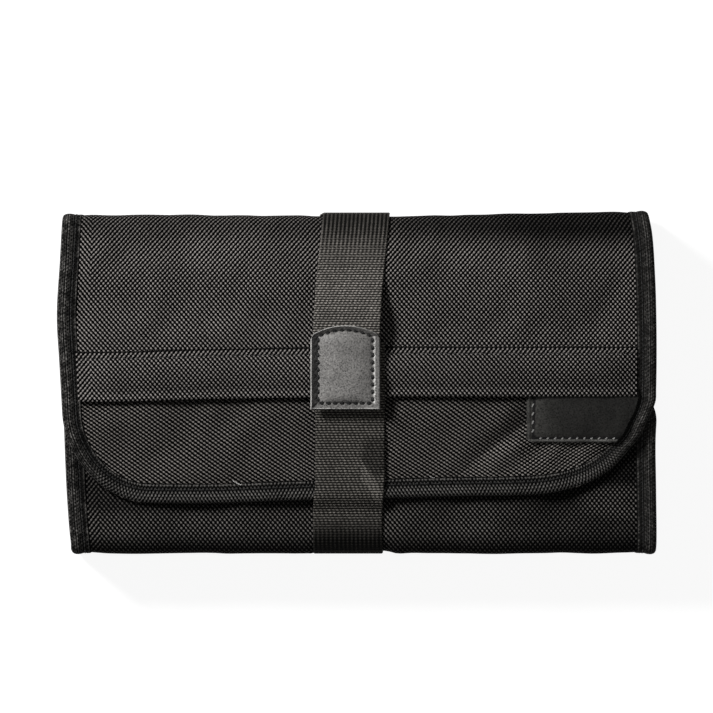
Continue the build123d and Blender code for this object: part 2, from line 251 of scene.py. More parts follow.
class Waves:
    """Soft wrinkles: a few long waves whose directions and phases come from a seed."""

    def __init__(self, seed, longest=90 * MM, shortest=28 * MM, count=9):
        draw = np.random.RandomState(seed)
        length = np.geomspace(longest, shortest, count)
        angle = draw.uniform(0, math.pi, count)
        self.kx = 2 * math.pi / length * np.cos(angle)
        self.ks = 2 * math.pi / length * np.sin(angle)
        self.phase = draw.uniform(0, 2 * math.pi, count)
        self.size = (length / longest) / np.sum(length / longest)

    def at(self, x, s):
        x, s = np.broadcast_arrays(x, s)
        turns = x[..., None] * self.kx + s[..., None] * self.ks + self.phase
        return np.sum(np.sin(turns) * self.size, axis=-1)


class Field:
    """Heights on an even grid, read back as a smooth surface."""

    def __init__(self, x, s, heights):
        self.x0, self.s0 = x[0], s[0]
        self.dx, self.ds = x[1] - x[0], s[1] - s[0]
        self.heights = heights

    def at(self, x, s):
        x, s = np.broadcast_arrays(np.asarray(x, float), s)
        u, v = (x - self.x0) / self.dx, (s - self.s0) / self.ds
        column, row = np.floor(u).astype(int), np.floor(v).astype(int)
        total = 0
        for i, along in enumerate(spline_weights(v - row)):
            for j, across in enumerate(spline_weights(u - column)):
                rows = np.clip(row + i - 1, 0, self.heights.shape[0] - 1)
                columns = np.clip(column + j - 1, 0, self.heights.shape[1] - 1)
                total = total + along * across * self.heights[rows, columns]
        return total


def spline_weights(t):
    """Weights of the four grid lines round a place, t of the way from the second to the third."""
    cubics = ((-1, 3, -3, 1), (3, -6, 0, 4), (-3, 3, 3, 1), (1, 0, 0, 0))
    return [np.polyval(cubic, t) / 6 for cubic in cubics]


def settled(width, length, seams, pressure, slack, cap, seed, spacing=5 * MM):
    """Cloth simulation of a flat sheet, held at its seams and pushed out by its padding.

    seams gives how firmly a place is held, from 0 to 1. The answer is a field of heights, up to cap."""
    x, s = steps(-width / 2, width / 2, spacing), steps(0, length, spacing)
    grid_x, grid_s = np.meshgrid(x, s)
    held = np.clip(seams(grid_x, grid_s), 0, 1)
    start = 0.6 * MM * Waves(seed, 60 * MM, 18 * MM).at(grid_x, grid_s) * (1 - held)
    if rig.quick():
        return Field(x, s, (1 - held) * 0.6 * cap + 2 * start)
    rows, columns = grid_x.shape
    corners = [row * columns + column for row in range(rows - 1) for column in range(columns - 1)]
    mesh = bpy.data.meshes.new("trial_sheet")
    mesh.from_pydata(np.stack([grid_x, grid_s, start], axis=-1).reshape(-1, 3).tolist(), [],
                     [(a, a + 1, a + columns + 1, a + columns) for a in corners])
    sheet = bpy.data.objects.new("trial_sheet", mesh)
    bpy.context.scene.collection.objects.link(sheet)
    group = sheet.vertex_groups.new(name="seams")
    for number, weight in enumerate(held.ravel()):
        if weight > 0:
            group.add([number], float(weight), "REPLACE")
    heights = run_cloth(sheet, pressure, slack).reshape(rows, columns)
    bpy.data.objects.remove(sheet)
    return Field(x, s, cap * np.tanh(heights / cap))


def run_cloth(sheet, pressure, slack, frames=20):
    """Runs Blender's cloth on a sheet and gives the height of each vertex at the end."""
    modifier = sheet.modifiers.new("cloth", "CLOTH")
    cloth = modifier.settings
    cloth.quality = 6
    cloth.mass = 0.15
    cloth.tension_stiffness = cloth.compression_stiffness = 15
    cloth.shear_stiffness = 6
    cloth.bending_stiffness = 0.05
    cloth.air_damping = 3
    cloth.vertex_group_mass = "seams"
    cloth.use_pressure = True
    cloth.uniform_pressure_force = pressure
    cloth.shrink_min = -slack
    cloth.effector_weights.gravity = 0
    modifier.point_cache.frame_start = 1
    modifier.point_cache.frame_end = frames
    for frame_number in range(1, frames + 1):
        bpy.context.scene.frame_set(frame_number)
    shown = sheet.evaluated_get(bpy.context.evaluated_depsgraph_get())
    places = np.zeros(len(sheet.data.vertices) * 3)
    shown.data.vertices.foreach_get("co", places)
    bpy.context.scene.frame_set(1)
    return places[2::3]


# Chains: the path of the outer skin in Y and Z, along the back, up a spine and over the panel on top

def eased(points):
    """A smooth curve through a few (place, value) points."""
    places, values = zip(*points)

    def curve(place):
        place = np.asarray(place, float)
        index = np.clip(np.searchsorted(places, place) - 1, 0, len(places) - 2)
        a, b = np.take(places, index), np.take(places, index + 1)
        t = smooth(place, a, b)
        return np.take(values, index) * (1 - t) + np.take(values, index + 1) * t

    return curve


def flowing(points):
    """A curve through a few (place, value) points, without a flat stop at each."""
    places, values = (np.array(column, float) for column in zip(*points))
    slopes = np.gradient(values, places)

    def curve(place):
        place = np.clip(np.asarray(place, float), places[0], places[-1])
        index = np.clip(np.searchsorted(places, place) - 1, 0, len(places) - 2)
        gap = places[index + 1] - places[index]
        t = (place - places[index]) / gap
        return ((1 + 2 * t) * (1 - t) ** 2 * values[index] + t * (1 - t) ** 2 * gap * slopes[index]
                + t * t * (3 - 2 * t) * values[index + 1] + t * t * (t - 1) * gap * slopes[index + 1])

    return curve


class Chain:
    """left and right shift the side edges, drop shifts the fabric along the skin, bulge moves the spine out.

    folds are heights of single creases, and zip_hold says how firmly a zip holds the skin."""

    def __init__(self, side, z_panel, y_end, corner_r, left, right, drop, bulge, folds, zip_hold, seed):
        self.side = side
        self.z_panel = z_panel
        self.first = y_spine - fold_r
        self.spine = self.first + fold_r * math.pi / 2
        self.rise = z_panel - z_back - 2 * fold_r
        self.second = self.spine + self.rise
        self.panel = self.second + fold_r * math.pi / 2
        self.middle = self.spine + self.rise / 2
        self.end = self.s_at(y_end)
        self.corner = self.end - corner_r
        self.corner_r = corner_r
        self.left, self.right, self.drop, self.bulge = left, right, drop, bulge
        self.folds, self.zip_hold = folds, zip_hold
        self.waves = Waves(seed)
        self.pad = settled(2 * x_edge, self.end, self.seams, 0.16, 0.012, 2.2 * MM, seed)

    def s_at(self, y):
        """Distance along the skin of a place on the panel."""
        return self.panel + self.first - self.side * y

    def y_at(self, s):
        return self.side * (self.panel + self.first - s)

    def half_width(self, s):
        """Half width of the panel, narrowing round its free corners."""
        past = np.clip(np.asarray(s, float) - self.corner, 0, self.corner_r)
        return x_edge - self.corner_r + np.sqrt(np.maximum(self.corner_r ** 2 - past ** 2, 0))

    def edge_distance(self, x, s):
        """Distance in from the sides and the free edge."""
        qx = np.abs(x) - (x_edge - self.corner_r)
        qs = s - self.corner
        outside = np.hypot(np.maximum(qx, 0), np.maximum(qs, 0)) + np.minimum(np.maximum(qx, qs), 0)
        return self.corner_r - outside

    def under_strap(self, x):
        return 1 - smooth(np.abs(x - strap_x), strap_w / 2 - 2 * MM, strap_w / 2 + 6 * MM)

    def seams(self, x, s):
        """How firmly the skin is held: by bindings, strap, folds, the back's middle and the flap's zip."""
        edge = 1 - smooth(self.edge_distance(x, s), 10 * MM, 16 * MM)
        folds = 0.5 * bump(s, self.spine, 6 * MM) + 0.6 * bump(s, self.panel - 4 * MM, 7 * MM)
        middle = 1 - smooth(s, 0, 12 * MM)
        held = np.maximum(np.maximum(edge, self.under_strap(x)), np.maximum(folds, middle))
        return np.maximum(held, self.zip_hold(s))

    def skin(self, x, s):
        """Height of the fabric: its padding, drawn down beside the binding, pressed down by the strap."""
        d = self.edge_distance(x, s)
        under = self.under_strap(x)
        on_back = 1 - smooth(s, self.first - 6 * MM, self.first + 6 * MM)
        droop = -0.7 * MM * (1 - smooth(d, 6 * MM, 18 * MM))
        spine = smooth(s, self.first, self.spine) * (1 - smooth(s, self.second, self.panel))
        out = self.bulge(x) * spine * (1 - 0.45 * under)
        padding = self.pad.at(x, s) * (1 - 0.85 * on_back) * (1 - 0.7 * spine)
        pressed = under * (0.25 * MM + on_back * 0.8 * MM)
        return padding + droop + out + self.folds(x, s) - pressed

    def side_shift(self, x, s):
        """How far a place moves across, between the shifts of the two side edges."""
        share = np.clip((x + x_edge) / (2 * x_edge), 0, 1)
        return self.left(s) * (1 - share) + self.right(s) * share

    def place(self, x, s, h):
        """Points in the frame, from fabric coordinates."""
        x, s, h = np.broadcast_arrays(np.asarray(x, float), s, h)
        shift = self.side_shift(x, s)
        s = s + self.drop(x, s)
        turn_low = (np.clip(s, self.first, self.spine) - self.first) / fold_r
        turn_high = (np.clip(s, self.second, self.panel) - self.second) / fold_r
        turn = turn_low + turn_high
        y = (np.minimum(s, self.first) + fold_r * (np.sin(turn_low) - 1 + np.cos(turn_high))
             - np.maximum(s - self.panel, 0))
        z = (z_back + fold_r * (1 - np.cos(turn_low) + np.sin(turn_high))
             + np.clip(s - self.spine, 0, self.rise))
        y = self.side * (y + h * np.sin(turn))
        return np.stack([x + shift, y, z - h * np.cos(turn)], axis=-1)

    def low_fold(self):
        """Start and end of the bend from the back into the spine."""
        return (0, self.side * (y_spine - fold_reach), z_back), (0, self.side * y_spine, z_back + fold_reach)

    def high_fold(self):
        """Start and end of the bend from the spine into the panel."""
        return ((0, self.side * y_spine, self.z_panel - fold_reach),
                (0, self.side * (y_spine - fold_reach), self.z_panel))


def edge_shift(side, z_panel, points, back=0.0):
    """How far a side edge is moved: back along the bag's back, and points, by Y, on the panel."""
    length = y_spine - fold_r
    panel = length + fold_r * math.pi + (z_panel - z_back - 2 * fold_r)
    told = [(panel + length - side * y, shift) for y, shift in points]
    return flowing([(0, back), (length - 30 * MM, back), (length + fold_r, points[0][1] / 2)] + told)


def top_s(y):
    return 2 * (y_spine - fold_r) + fold_r * math.pi + (z_flap - z_back - 2 * fold_r) - y


def in_mm(pairs):
    return [(place * MM, value * MM) for place, value in pairs]


# The flap's free edge hangs a little lower at the left and is drawn up towards its right corner
free_edge_drop = flowing(in_mm([(-165, -0.8), (-138, 2.0), (-90, 3.2), (-32, 1.5), (20, 0.2), (60, -0.8),
                                (89, -1.2), (108, -2.2), (125, -5.2), (138, -6.2), (165, -6.0)]))

# The top fold stands out to the right and dips beside the strap
top_bulge = flowing(in_mm([(-165, 0.9), (-80, 0.5), (-20, 0.1), (30, -0.2), (60, 0.4), (85, 1.2),
                           (125, 1.6), (165, 2.5)]))

# Shifts of the side edges by Y
top_left = in_mm([(94, -1.4), (70, -2.6), (36, -4.4), (11, -3.0), (-20, -1.3), (-65, 0)])
top_right = in_mm([(94, -0.6), (85, 0.8), (60, 2.6), (30, 3.4), (-4, 3.2), (-10.5, 3.0), (-17, 1.0),
                   (-23.5, -1.3), (-35.5, -3.2), (-43, -5.0), (-49, -4.8), (-65, -2.5)])
bottom_left = in_mm([(-94, 3.4), (-80, 2.2), (-66, 1.2), (-30, -0.4), (-3, -1.2)])
bottom_right = in_mm([(-94, 3.6), (-60, 3.4), (-30, 3.2), (-3, 5.2)])
back_right = 3.0 * MM

# Ends of the crease that runs down to the left from under the label
crease_start, crease_end = (99 * MM, -20 * MM), (77 * MM, -38 * MM)


def flap_drop(x, s):
    return smooth(s, top_s(hem_y) - 10 * MM, top_s(y_flap_end)) * free_edge_drop(x)


def bottom_bulge(x):
    return 2.5 * MM + 0.3 * MM * bump(x, 45 * MM, 60 * MM)


def flap_crease(x, s):
    """The crease, with a soft fold beside it."""
    run = np.subtract(crease_end, crease_start)
    length = np.hypot(*run)
    way = run / length
    rel_x, rel_y = x - crease_start[0], top_s(0) - s - crease_start[1]
    along = rel_x * way[0] + rel_y * way[1]
    across = rel_y * way[0] - rel_x * way[1]
    reach = smooth(along, -2 * MM, 6 * MM) * (1 - smooth(along, length - 7 * MM, length + 4 * MM))
    wide = smooth(along, -4 * MM, 10 * MM) * (1 - smooth(along, length, length + 14 * MM))
    return 1.6 * MM * wide * bump(across, 9 * MM, 6 * MM) - 2.0 * MM * reach * bump(across, 0, 3.6 * MM)


def zip_hold(s):
    """The placket's seam and the zip under it hold the flap's skin down."""
    from_seam = smooth(s, top_s(seam_y) - 9 * MM, top_s(seam_y))
    past_hem = smooth(s, top_s(hem_y), top_s(hem_y - 8 * MM))
    return 0.85 * from_seam * (1 - past_hem)


def none_here(*places):
    return 0.0 * places[-1]


top = Chain(1, z_flap, y_flap_end, flap_corner_r, edge_shift(1, z_flap, top_left),
            edge_shift(1, z_flap, top_right, back_right), flap_drop, top_bulge, flap_crease, zip_hold, 3)
bottom = Chain(-1, z_front, y_front_end, front_corner_r, edge_shift(-1, z_front, bottom_left),
               edge_shift(-1, z_front, bottom_right, back_right), none_here, bottom_bulge, none_here,
               none_here, 8)


# Meshes

class Soft:
    """Gathers closed tubes of points, with their fabric coordinates, into one mesh."""

    def __init__(self):
        self.points, self.uv, self.faces, self.slots = [], [], [], []
        self.count = 0

    def tube(self, points, uv, slots, cap=True):
        """Rings of points (rows, columns), closed across the columns. slots has one number a column."""
        rows, columns = points.shape[:2]
        first = self.count
        self.points.append(points.reshape(-1, 3))
        self.uv.append(uv.reshape(-1, 2))
        self.count += rows * columns
        slots = np.broadcast_to(slots, (rows - 1, columns))
        for row in range(rows - 1):
            for column in range(columns):
                after = (column + 1) % columns
                a, b = first + row * columns, first + (row + 1) * columns
                self.faces.append((a + column, a + after, b + after, b + column))
                self.slots.append(int(slots[row, column]))
        if cap:
            for base, slot in ((first, slots[0, 0]), (first + (rows - 1) * columns, slots[-1, 0])):
                for column in range(columns // 2 - (columns % 2 == 0)):
                    pair = (base + column, base + column + 1, base + columns - 2 - column,
                            base + columns - 1 - column)
                    self.faces.append(pair if base == first else pair[::-1])
                    self.slots.append(int(slot))

    def make(self, name, materials, sharp=40):
        """The finished mesh as an object. sharp is the angle from which an edge stays sharp."""
        mesh = bpy.data.meshes.new(name)
        mesh.from_pydata(np.concatenate(self.points).tolist(), [], self.faces)
        for material in materials:
            mesh.materials.append(material)
        mesh.polygons.foreach_set("material_index", self.slots)
        uv = np.concatenate(self.uv)
        corner = np.zeros(len(mesh.loops), int)
        mesh.loops.foreach_get("vertex_index", corner)
        layer = mesh.uv_layers.new(name="weave")
        layer.data.foreach_set("uv", uv[corner].ravel())
        mesh.validate()
        mesh.update()
        obj = bpy.data.objects.new(name, mesh)
        bpy.context.scene.collection.objects.link(obj)
        turn_outward(mesh)
        mesh.shade_smooth()
        mesh.set_sharp_from_angle(angle=math.radians(sharp))
        return obj


def turn_outward(mesh):
    work = bmesh.new()
    work.from_mesh(mesh)
    bmesh.ops.recalc_face_normals(work, faces=work.faces)
    work.to_mesh(mesh)
    work.free()


def panel_rows(chain, s_start, s_end):
    """Rows of a panel, closer together round its free corners."""
    flat = steps(s_start, min(chain.corner, s_end), grid)
    if s_end <= chain.corner:
        return flat
    angle = np.linspace(0, math.pi / 2, 26)[1:]
    return np.concatenate([flat, chain.corner + chain.corner_r * np.sin(angle)])


def sheet_ring(x, y, upper, lower):
    """Once round a flat piece: out along a grid at its upper heights and back at its lower ones."""
    x, y, upper, lower = np.broadcast_arrays(x, y, upper, lower)
    pairs = ((x, x), (y, y), (upper, lower))
    return np.stack([np.concatenate([out, back[:, ::-1]], axis=1) for out, back in pairs], axis=-1)


def flat_grid(x_start, x_end, columns, rows):
    """Even columns on rows of Y, as a grid of x and one of y."""
    return np.broadcast_arrays(np.linspace(x_start, x_end, columns)[None, :], rows[:, None])


def flat_place(x, y, z):
    return np.stack(np.broadcast_arrays(x, y, z), axis=-1)


def travelled(points):
    """Distance along a line of points, from 0 at its start."""
    return np.concatenate([[0], np.cumsum(np.hypot(*np.diff(points, axis=0).T))])


def padded_panel(chain, s_start, s_end, turned_from=math.inf, hollow=none_here):
    """A closed padded sheet with the outer fabric on one face and the lining on the other.

    From turned_from on, the outer fabric is the third material."""
    rows = panel_rows(chain, s_start, s_end)
    inset = 0.6 * MM
    s = np.minimum(rows, chain.end - inset)[:, None]
    x = np.linspace(-1, 1, 111)[None, :] * np.maximum(chain.half_width(s) - inset, 1 * MM)
    s = s + 0 * x
    outer = chain.skin(x, s)
    inner = outer - edge_t - (panel_t - edge_t) * smooth(chain.edge_distance(x, s), 8 * MM, 18 * MM)
    ring = sheet_ring(x, s, outer - hollow(x, s), inner)
    slots = np.ones((len(rows) - 1, ring.shape[1]), int)
    slots[:, :x.shape[1]] = np.where(rows[:-1] < turned_from, 0, 2)[:, None]
    soft = Soft()
    soft.tube(chain.place(*np.moveaxis(ring, -1, 0)), ring[..., :2], slots)
    return soft


def outline(chain, s_start, spacing):
    """Stations along a panel's free outline: (x, s, inward x, inward s, distance along it)."""
    straight = chain.corner - s_start
    arc = chain.corner_r * math.pi / 2
    cx = x_edge - chain.corner_r
    total = 2 * (straight + arc + cx)
    out = []
    for a in steps(0, total, spacing):
        side = -1 if a < total / 2 else 1
        near = min(a, total - a)
        if near < straight:
            out.append((side * x_edge, s_start + near, -side, 0, a))
        elif near < straight + arc:
            t = (near - straight) / chain.corner_r
            nx, ns = -side * math.cos(t), -math.sin(t)
            out.append((side * cx - chain.corner_r * nx, chain.corner - chain.corner_r * ns, nx, ns, a))
        else:
            out.append((side * (cx - (near - straight - arc)), chain.end, 0, -1, a))
    return np.array(out)


def side_line(side, s_start, s_end, spacing):
    """Stations along a straight side edge, in the same form."""
    return np.array([(side * x_edge, s, -side, 0, s) for s in steps(s_start, s_end, spacing)])


# Binding: tape folded round an edge, with a fat roll at the edge and a flat sewn leg inside it
tape_profile = np.array([
    (11.0, -0.15), (10.9, 0.35), (10.2, 0.55), (9.0, 0.60), (7.9, 0.42), (7.2, 0.40), (6.4, 0.62),
    (5.2, 0.95), (3.8, 1.15), (2.4, 1.10), (1.2, 0.70), (0.4, 0.05), (0.0, -0.85), (0.4, -1.75),
    (1.4, -2.20), (3.0, -2.35), (6.0, -2.30), (9.0, -2.25), (10.8, -2.15), (11.0, -1.90), (10.0, -1.75),
    (5.0, -1.7), (1.6, -1.45), (1.0, -0.85), (1.6, -0.25), (5.0, 0.0), (10.0, -0.2)]) * MM


def leg_skin(chain, x, s, nx, ns):
    """Height of the fabric under the sewn leg of a binding whose edge is at x and s."""
    return chain.skin(x + nx * tape_leg, s + ns * tape_leg)


def add_binding(soft, chain, stations):
    """Sweeps the tape's profile along an edge."""
    x, s, nx, ns, along = (column[:, None] for column in stations.T)
    inset, h = tape_profile[None, :, 0], tape_profile[None, :, 1]
    px, ps = x + nx * inset, s + ns * inset
    lift = leg_skin(chain, x, s, nx, ns) + 0.3 * MM * chain.waves.at(3 * px, 3 * ps)
    uv = np.stack(np.broadcast_arrays(along, travelled(tape_profile)), axis=-1)
    soft.tube(chain.place(px, ps, h + lift), uv, 0)


# A stitch: places along its length, in stitch lengths, and its radius and rise there, in thread radii
stitch_t = np.array([-0.5, -0.42, 0.0, 0.42, 0.5])[:, None]
stitch_r = np.array([0.35, 0.85, 1.0, 0.85, 0.35])[:, None]
stitch_h = np.array([-0.9, -0.3, 0.25, -0.3, -0.9])[:, None]


def add_stitches(soft, place, stations, pitch, slot, length=0.7, radius=thread_r, tilt=0.0):
    """Short raised threads along a line. stations are (x, s, h) points; place puts them in the frame."""
    stations = np.asarray(stations, float)
    along = travelled(stations[:, :2])
    count = max(1, int(along[-1] / pitch))
    angle = np.arange(6)[None, :] * math.pi / 3
    ahead_t = stitch_t * length * pitch
    side_way = np.cos(angle) * stitch_r * radius
    up = (np.sin(angle) * stitch_r * 0.8 + stitch_h) * radius
    for number in range(count):
        centre = (number + 0.5) * along[-1] / count
        x, s, h = (np.interp(centre, along, column) for column in stations.T)
        ahead_x, ahead_s = (np.interp(centre + 0.2 * pitch, along, column) for column in stations.T[:2])
        turn = math.atan2(ahead_s - s, ahead_x - x) + tilt
        dx, ds = math.cos(turn), math.sin(turn)
        px = x + dx * ahead_t - ds * side_way
        ps = s + ds * ahead_t + dx * side_way
        uv = np.stack(np.broadcast_arrays(ahead_t + centre, angle * radius), axis=-1)
        soft.tube(place(px, ps, h + up), uv, slot)


def ribbon_ring(half, thickness, columns=15):
    """Cross-section of webbing: (x, h) round a flat band with soft edges."""
    angle = np.linspace(math.pi / 2, -math.pi / 2, 5)
    x_flat = np.linspace(-half + thickness / 2, half - thickness / 2, columns)
    r = thickness / 2
    right = [(half - r + r * math.cos(a), r + r * math.sin(a)) for a in angle[1:-1]]
    left = [(-x, h) for x, h in right[::-1]]
    return np.array([(x, thickness) for x in x_flat] + right + [(x, 0) for x in x_flat[::-1]] + left)


def add_webbing(soft, place, rows, centre_at, height_at, share):
    """Webbing along a chain: its middle line and height follow functions of s.

    share is how much of its full width it takes."""
    across, rise = ribbon_ring(strap_w / 2, strap_t).T
    s = rows[:, None]
    x = centre_at(s) + across * share
    uv = np.stack(np.broadcast_arrays(across, s), axis=-1)
    soft.tube(place(x, s + 0 * x, height_at(x, s) + rise), uv, 0)


# Materials

class Value:
    """A number that a material's nodes work out. It adds, multiplies and so on as plain numbers do."""

    def __init__(self, tree, socket):
        self.tree, self.socket = tree, socket

    def operate(self, kind, *given):
        node = self.tree.nodes.new("ShaderNodeMath")
        node.operation = kind
        for socket, value in zip(node.inputs, given):
            put(self.tree, socket, value)
        return Value(self.tree, node.outputs[0])

    def __add__(self, other):
        return self.operate("ADD", self, other)

    def __sub__(self, other):
        return self.operate("SUBTRACT", self, other)

    def __rsub__(self, other):
        return self.operate("SUBTRACT", other, self)

    def __mul__(self, other):
        return self.operate("MULTIPLY", self, other)

    def __truediv__(self, other):
        return self.operate("DIVIDE", self, other)

    def __abs__(self):
        return self.operate("ABSOLUTE", self)

    def __round__(self):
        return self.operate("ROUND", self)

    __radd__ = __add__
    __rmul__ = __mul__

    def at_least(self, other):
        return self.operate("MAXIMUM", self, other)

    def at_most(self, other):
        return self.operate("MINIMUM", self, other)

    def clamped(self):
        """Keeps the sum or product between 0 and 1."""
        self.socket.node.use_clamp = True
        return self

    def fit(self, low_in, high_in, low_out=0.0, high_out=1.0, kind="SMOOTHSTEP"):
        """Carries the range from low_in to high_in over to the range from low_out to high_out."""
        node = self.tree.nodes.new("ShaderNodeMapRange")
        node.interpolation_type = kind
        for socket, given in zip(node.inputs, (self, low_in, high_in, low_out, high_out)):
            put(self.tree, socket, given)
        return Value(self.tree, node.outputs[0])

    def wave(self, period, phase=None):
        turns = self * (2 * math.pi / period)
        turns = turns if phase is None else turns + phase
        return turns.operate("COSINE", turns)


def put(tree, socket, value):
    """Links a value to a socket, or writes a plain number there."""
    if isinstance(value, Value):
        tree.links.new(value.socket, socket)
    else:
        socket.default_value = value


class Shader:
    """A short way to write a material's nodes."""

    def __init__(self, name):
        self.material = bpy.data.materials.new(name)
        self.material.use_nodes = True
        self.tree = self.material.node_tree
        self.tree.nodes.clear()
        self.surface = self.tree.nodes.new("ShaderNodeBsdfPrincipled")
        out = self.tree.nodes.new("ShaderNodeOutputMaterial")
        self.tree.links.new(self.surface.outputs["BSDF"], out.inputs["Surface"])

    def node(self, kind, output, **given):
        """One output of a new node. given names its sockets and says what goes in."""
        node = self.tree.nodes.new("ShaderNode" + kind)
        for name, value in given.items():
            put(self.tree, node.inputs[name], value)
        return Value(self.tree, node.outputs[output])

    def noise(self, vector, scale, detail=2.0):
        return self.node("TexNoise", "Fac", Vector=vector, Scale=scale, Detail=detail)

    def cells(self, vector, scale):
        return self.node("TexVoronoi", "Distance", Vector=vector, Scale=scale)

    def split(self, vector):
        node = self.tree.nodes.new("ShaderNodeSeparateXYZ")
        put(self.tree, node.inputs[0], vector)
        return [Value(self.tree, output) for output in node.outputs]

    def fabric(self):
        """Fabric coordinates in metres: the vector, and its first and second number."""
        node = self.tree.nodes.new("ShaderNodeUVMap")
        node.uv_map = "weave"
        vector = Value(self.tree, node.outputs[0])
        return vector, *self.split(vector)[:2]

    def solid(self):
        """The place in the object, in metres."""
        return self.node("TexCoord", "Object")

    def mix(self, share, first, second):
        """A colour between two."""
        node = self.tree.nodes.new("ShaderNodeMix")
        node.data_type = "RGBA"
        for name, value in (("Factor", share), ("A", (*first, 1.0)), ("B", (*second, 1.0))):
            put(self.tree, node.inputs[name], value)
        return Value(self.tree, node.outputs["Result"])

    def raised(self, height, depth):
        bump_node = self.node("Bump", "Normal", Strength=1.0, Distance=depth, Height=height)
        put(self.tree, self.surface.inputs["Normal"], bump_node)

    def finish(self, color, roughness, **constants):
        put(self.tree, self.surface.inputs["Base Color"], color)
        put(self.tree, self.surface.inputs["Roughness"], roughness)
        for name, value in constants.items():
            self.surface.inputs[name.replace("_", " ")].default_value = value
        return self.material


def between(first, second, share):
    """first where share is 0, second where it is 1."""
    return first * (1.0 - share) + second * share


def oval(x, y, centre, radii):
    """0 at the centre of an oval and 1 on its outline."""
    off_x = (x - centre[0]) / radii[0]
    off_y = (y - centre[1]) / radii[1]
    return off_x * off_x + off_y * off_y


def wobble(sh, vector, value, amount, scale):
    """A coordinate with a little unevenness."""
    return value + (sh.noise(vector, scale, 1.0) - 0.5) * amount


def coarse_nylon(name, pitch, bright, lean, shade):
    """Coarse plain weave: fat round yarn crossings, staggered, on near-black gaps.

    lean says, place by place, how far the crossings run together into diagonals, and shade how bright
    they are."""
    sh = Shader(name)
    vector, across, along = sh.fabric()
    u = wobble(sh, vector, across, 0.45 * MM, 260) / pitch[0]
    v = wobble(sh, vector, along, 0.45 * MM, 230) / pitch[1]
    drift = sh.noise(vector, 11).fit(0.35, 0.65, -0.1, 0.1)
    tilt = (drift + lean(across, along)).at_most(0.34).at_least(-0.34)
    rising, falling = (u + v).wave(1.0), (u - v).wave(1.0)
    check = rising * tilt.fit(-1, 1, 0, 1, "LINEAR") + falling * tilt.fit(-1, 1, 1, 0, "LINEAR")
    dot = check.fit(-0.05, 0.92)
    fibre = sh.noise(vector, 2600)
    patch = sh.noise(vector, 22, 3.0)
    level = dot * (0.35 + fibre * 0.9) * (0.62 + patch * 0.76) * shade(across, along)
    color = sh.mix(level.clamped(), yarn_gap, bright)
    sh.raised(check + fibre * 0.25, 0.20 * MM)
    return sh.finish(color, dot.fit(0, 1, 0.85, 0.6, "LINEAR"), Specular_IOR_Level=0.012)


def side_strip(across):
    """1 along the first few millimetres of fabric beside the left binding."""
    return across.fit(-x_edge + 16 * MM, -x_edge + 18 * MM, 1.0, 0.0)


def upper_lean(across, along):
    """Diagonals rise to the right near the top fold and fall lower down."""
    left = along.fit(top.s_at(84 * MM), top.s_at(30 * MM), 0.45, -0.25)
    right = along.fit(top.s_at(76 * MM), top.s_at(50 * MM), 0.4, -0.04)
    return between(left, right, across.fit(-10 * MM, 60 * MM)) - side_strip(across)


def placket_lean(across, along):
    """Diagonals rise in the placket's sewn band and fall below it, less so at the right."""
    below = across.fit(20 * MM, 90 * MM, -0.28, -0.08)
    band = along.fit(top.s_at(seam_y) + 3.8 * MM, top.s_at(seam_y) + 4.4 * MM)
    return below * band + 0.4 * (1.0 - band) + side_strip(across)


def turned_lean(across, along):
    return across.fit(85 * MM, 110 * MM, -0.4, 0.08)


def front_lean(across, along):
    """The fabric runs the other way here, so these diagonals fall to the right where lean is above 0."""
    return across.fit(75 * MM, 125 * MM, 0.24, 0.08) - side_strip(across)


def top_shade(across, along):
    """The top fold turns away from the light, most of all at the right."""
    depth = across.fit(-60 * MM, 110 * MM, 0.5, 0.13)
    reach = along - across.fit(0, 120 * MM, 0.0, 4 * MM)
    on_panel = reach.fit(top.panel - 6 * MM, top.panel + 9 * MM)
    return depth + (1.0 - depth) * on_panel.at_least(along.fit(top.first, top.spine, 1.0, 0.0))


def placket_shade(across, along):
    """Dark where the seam is drawn in, and a little along its second row of stitches."""
    start = top.s_at(seam_y)
    seam = along.fit(start + 0.5 * MM, start + 1.3 * MM, 0.1, 1.0)
    near = along.fit(start + 3.5 * MM, start + 4.0 * MM)
    far = along.fit(start + 4.0 * MM, start + 4.5 * MM)
    return seam * (near - far).fit(0, 1, 1.0, 0.75)


def turned_shade(across, along):
    """Dark under the hem and above the crease beside the label, and brighter on the fold below it."""
    hem = along.fit(top.s_at(hem_y) + 1 * MM, top.s_at(hem_y) + 6 * MM, 0.7, 1.0)
    line = top.s_at(crease_start[1]) + (crease_start[0] - across) * 0.82
    below = along - line
    near = below.fit(-24 * MM, -10 * MM) * below.fit(0, 1.5 * MM, 1.0, 0.0) * across.fit(76 * MM, 90 * MM)
    fold = along.fit(top.s_at(-31 * MM), top.s_at(-36 * MM)) * below.fit(0, 2 * MM)
    fold = fold * across.fit(120 * MM, 145 * MM, 1.0, 0.0)
    return hem * (1.0 + (near * -0.5 + fold * 0.6))


def front_shade(across, along):
    """Dimmer than the flap, darkest in its shadow, round the bottom fold and at the right.

    A lit patch lies near its right end."""
    base = across.fit(60 * MM, 150 * MM, 1.0, 0.6)
    lit = along.fit(bottom.panel - 9 * MM, bottom.panel + 2 * MM, 0.4, 1.0)
    reach = oval(across, along, (146 * MM, bottom.s_at(-67 * MM)), (26 * MM, 11 * MM))
    edge = across.fit(-90 * MM, 60 * MM, bottom.s_at(-69.0 * MM), bottom.s_at(-65.5 * MM), "LINEAR")
    base = base * along.fit(edge - 7.5 * MM, edge, 1.0, 0.42)
    return base * lit + reach.fit(0.1, 1.3, 0.85, 0.0)


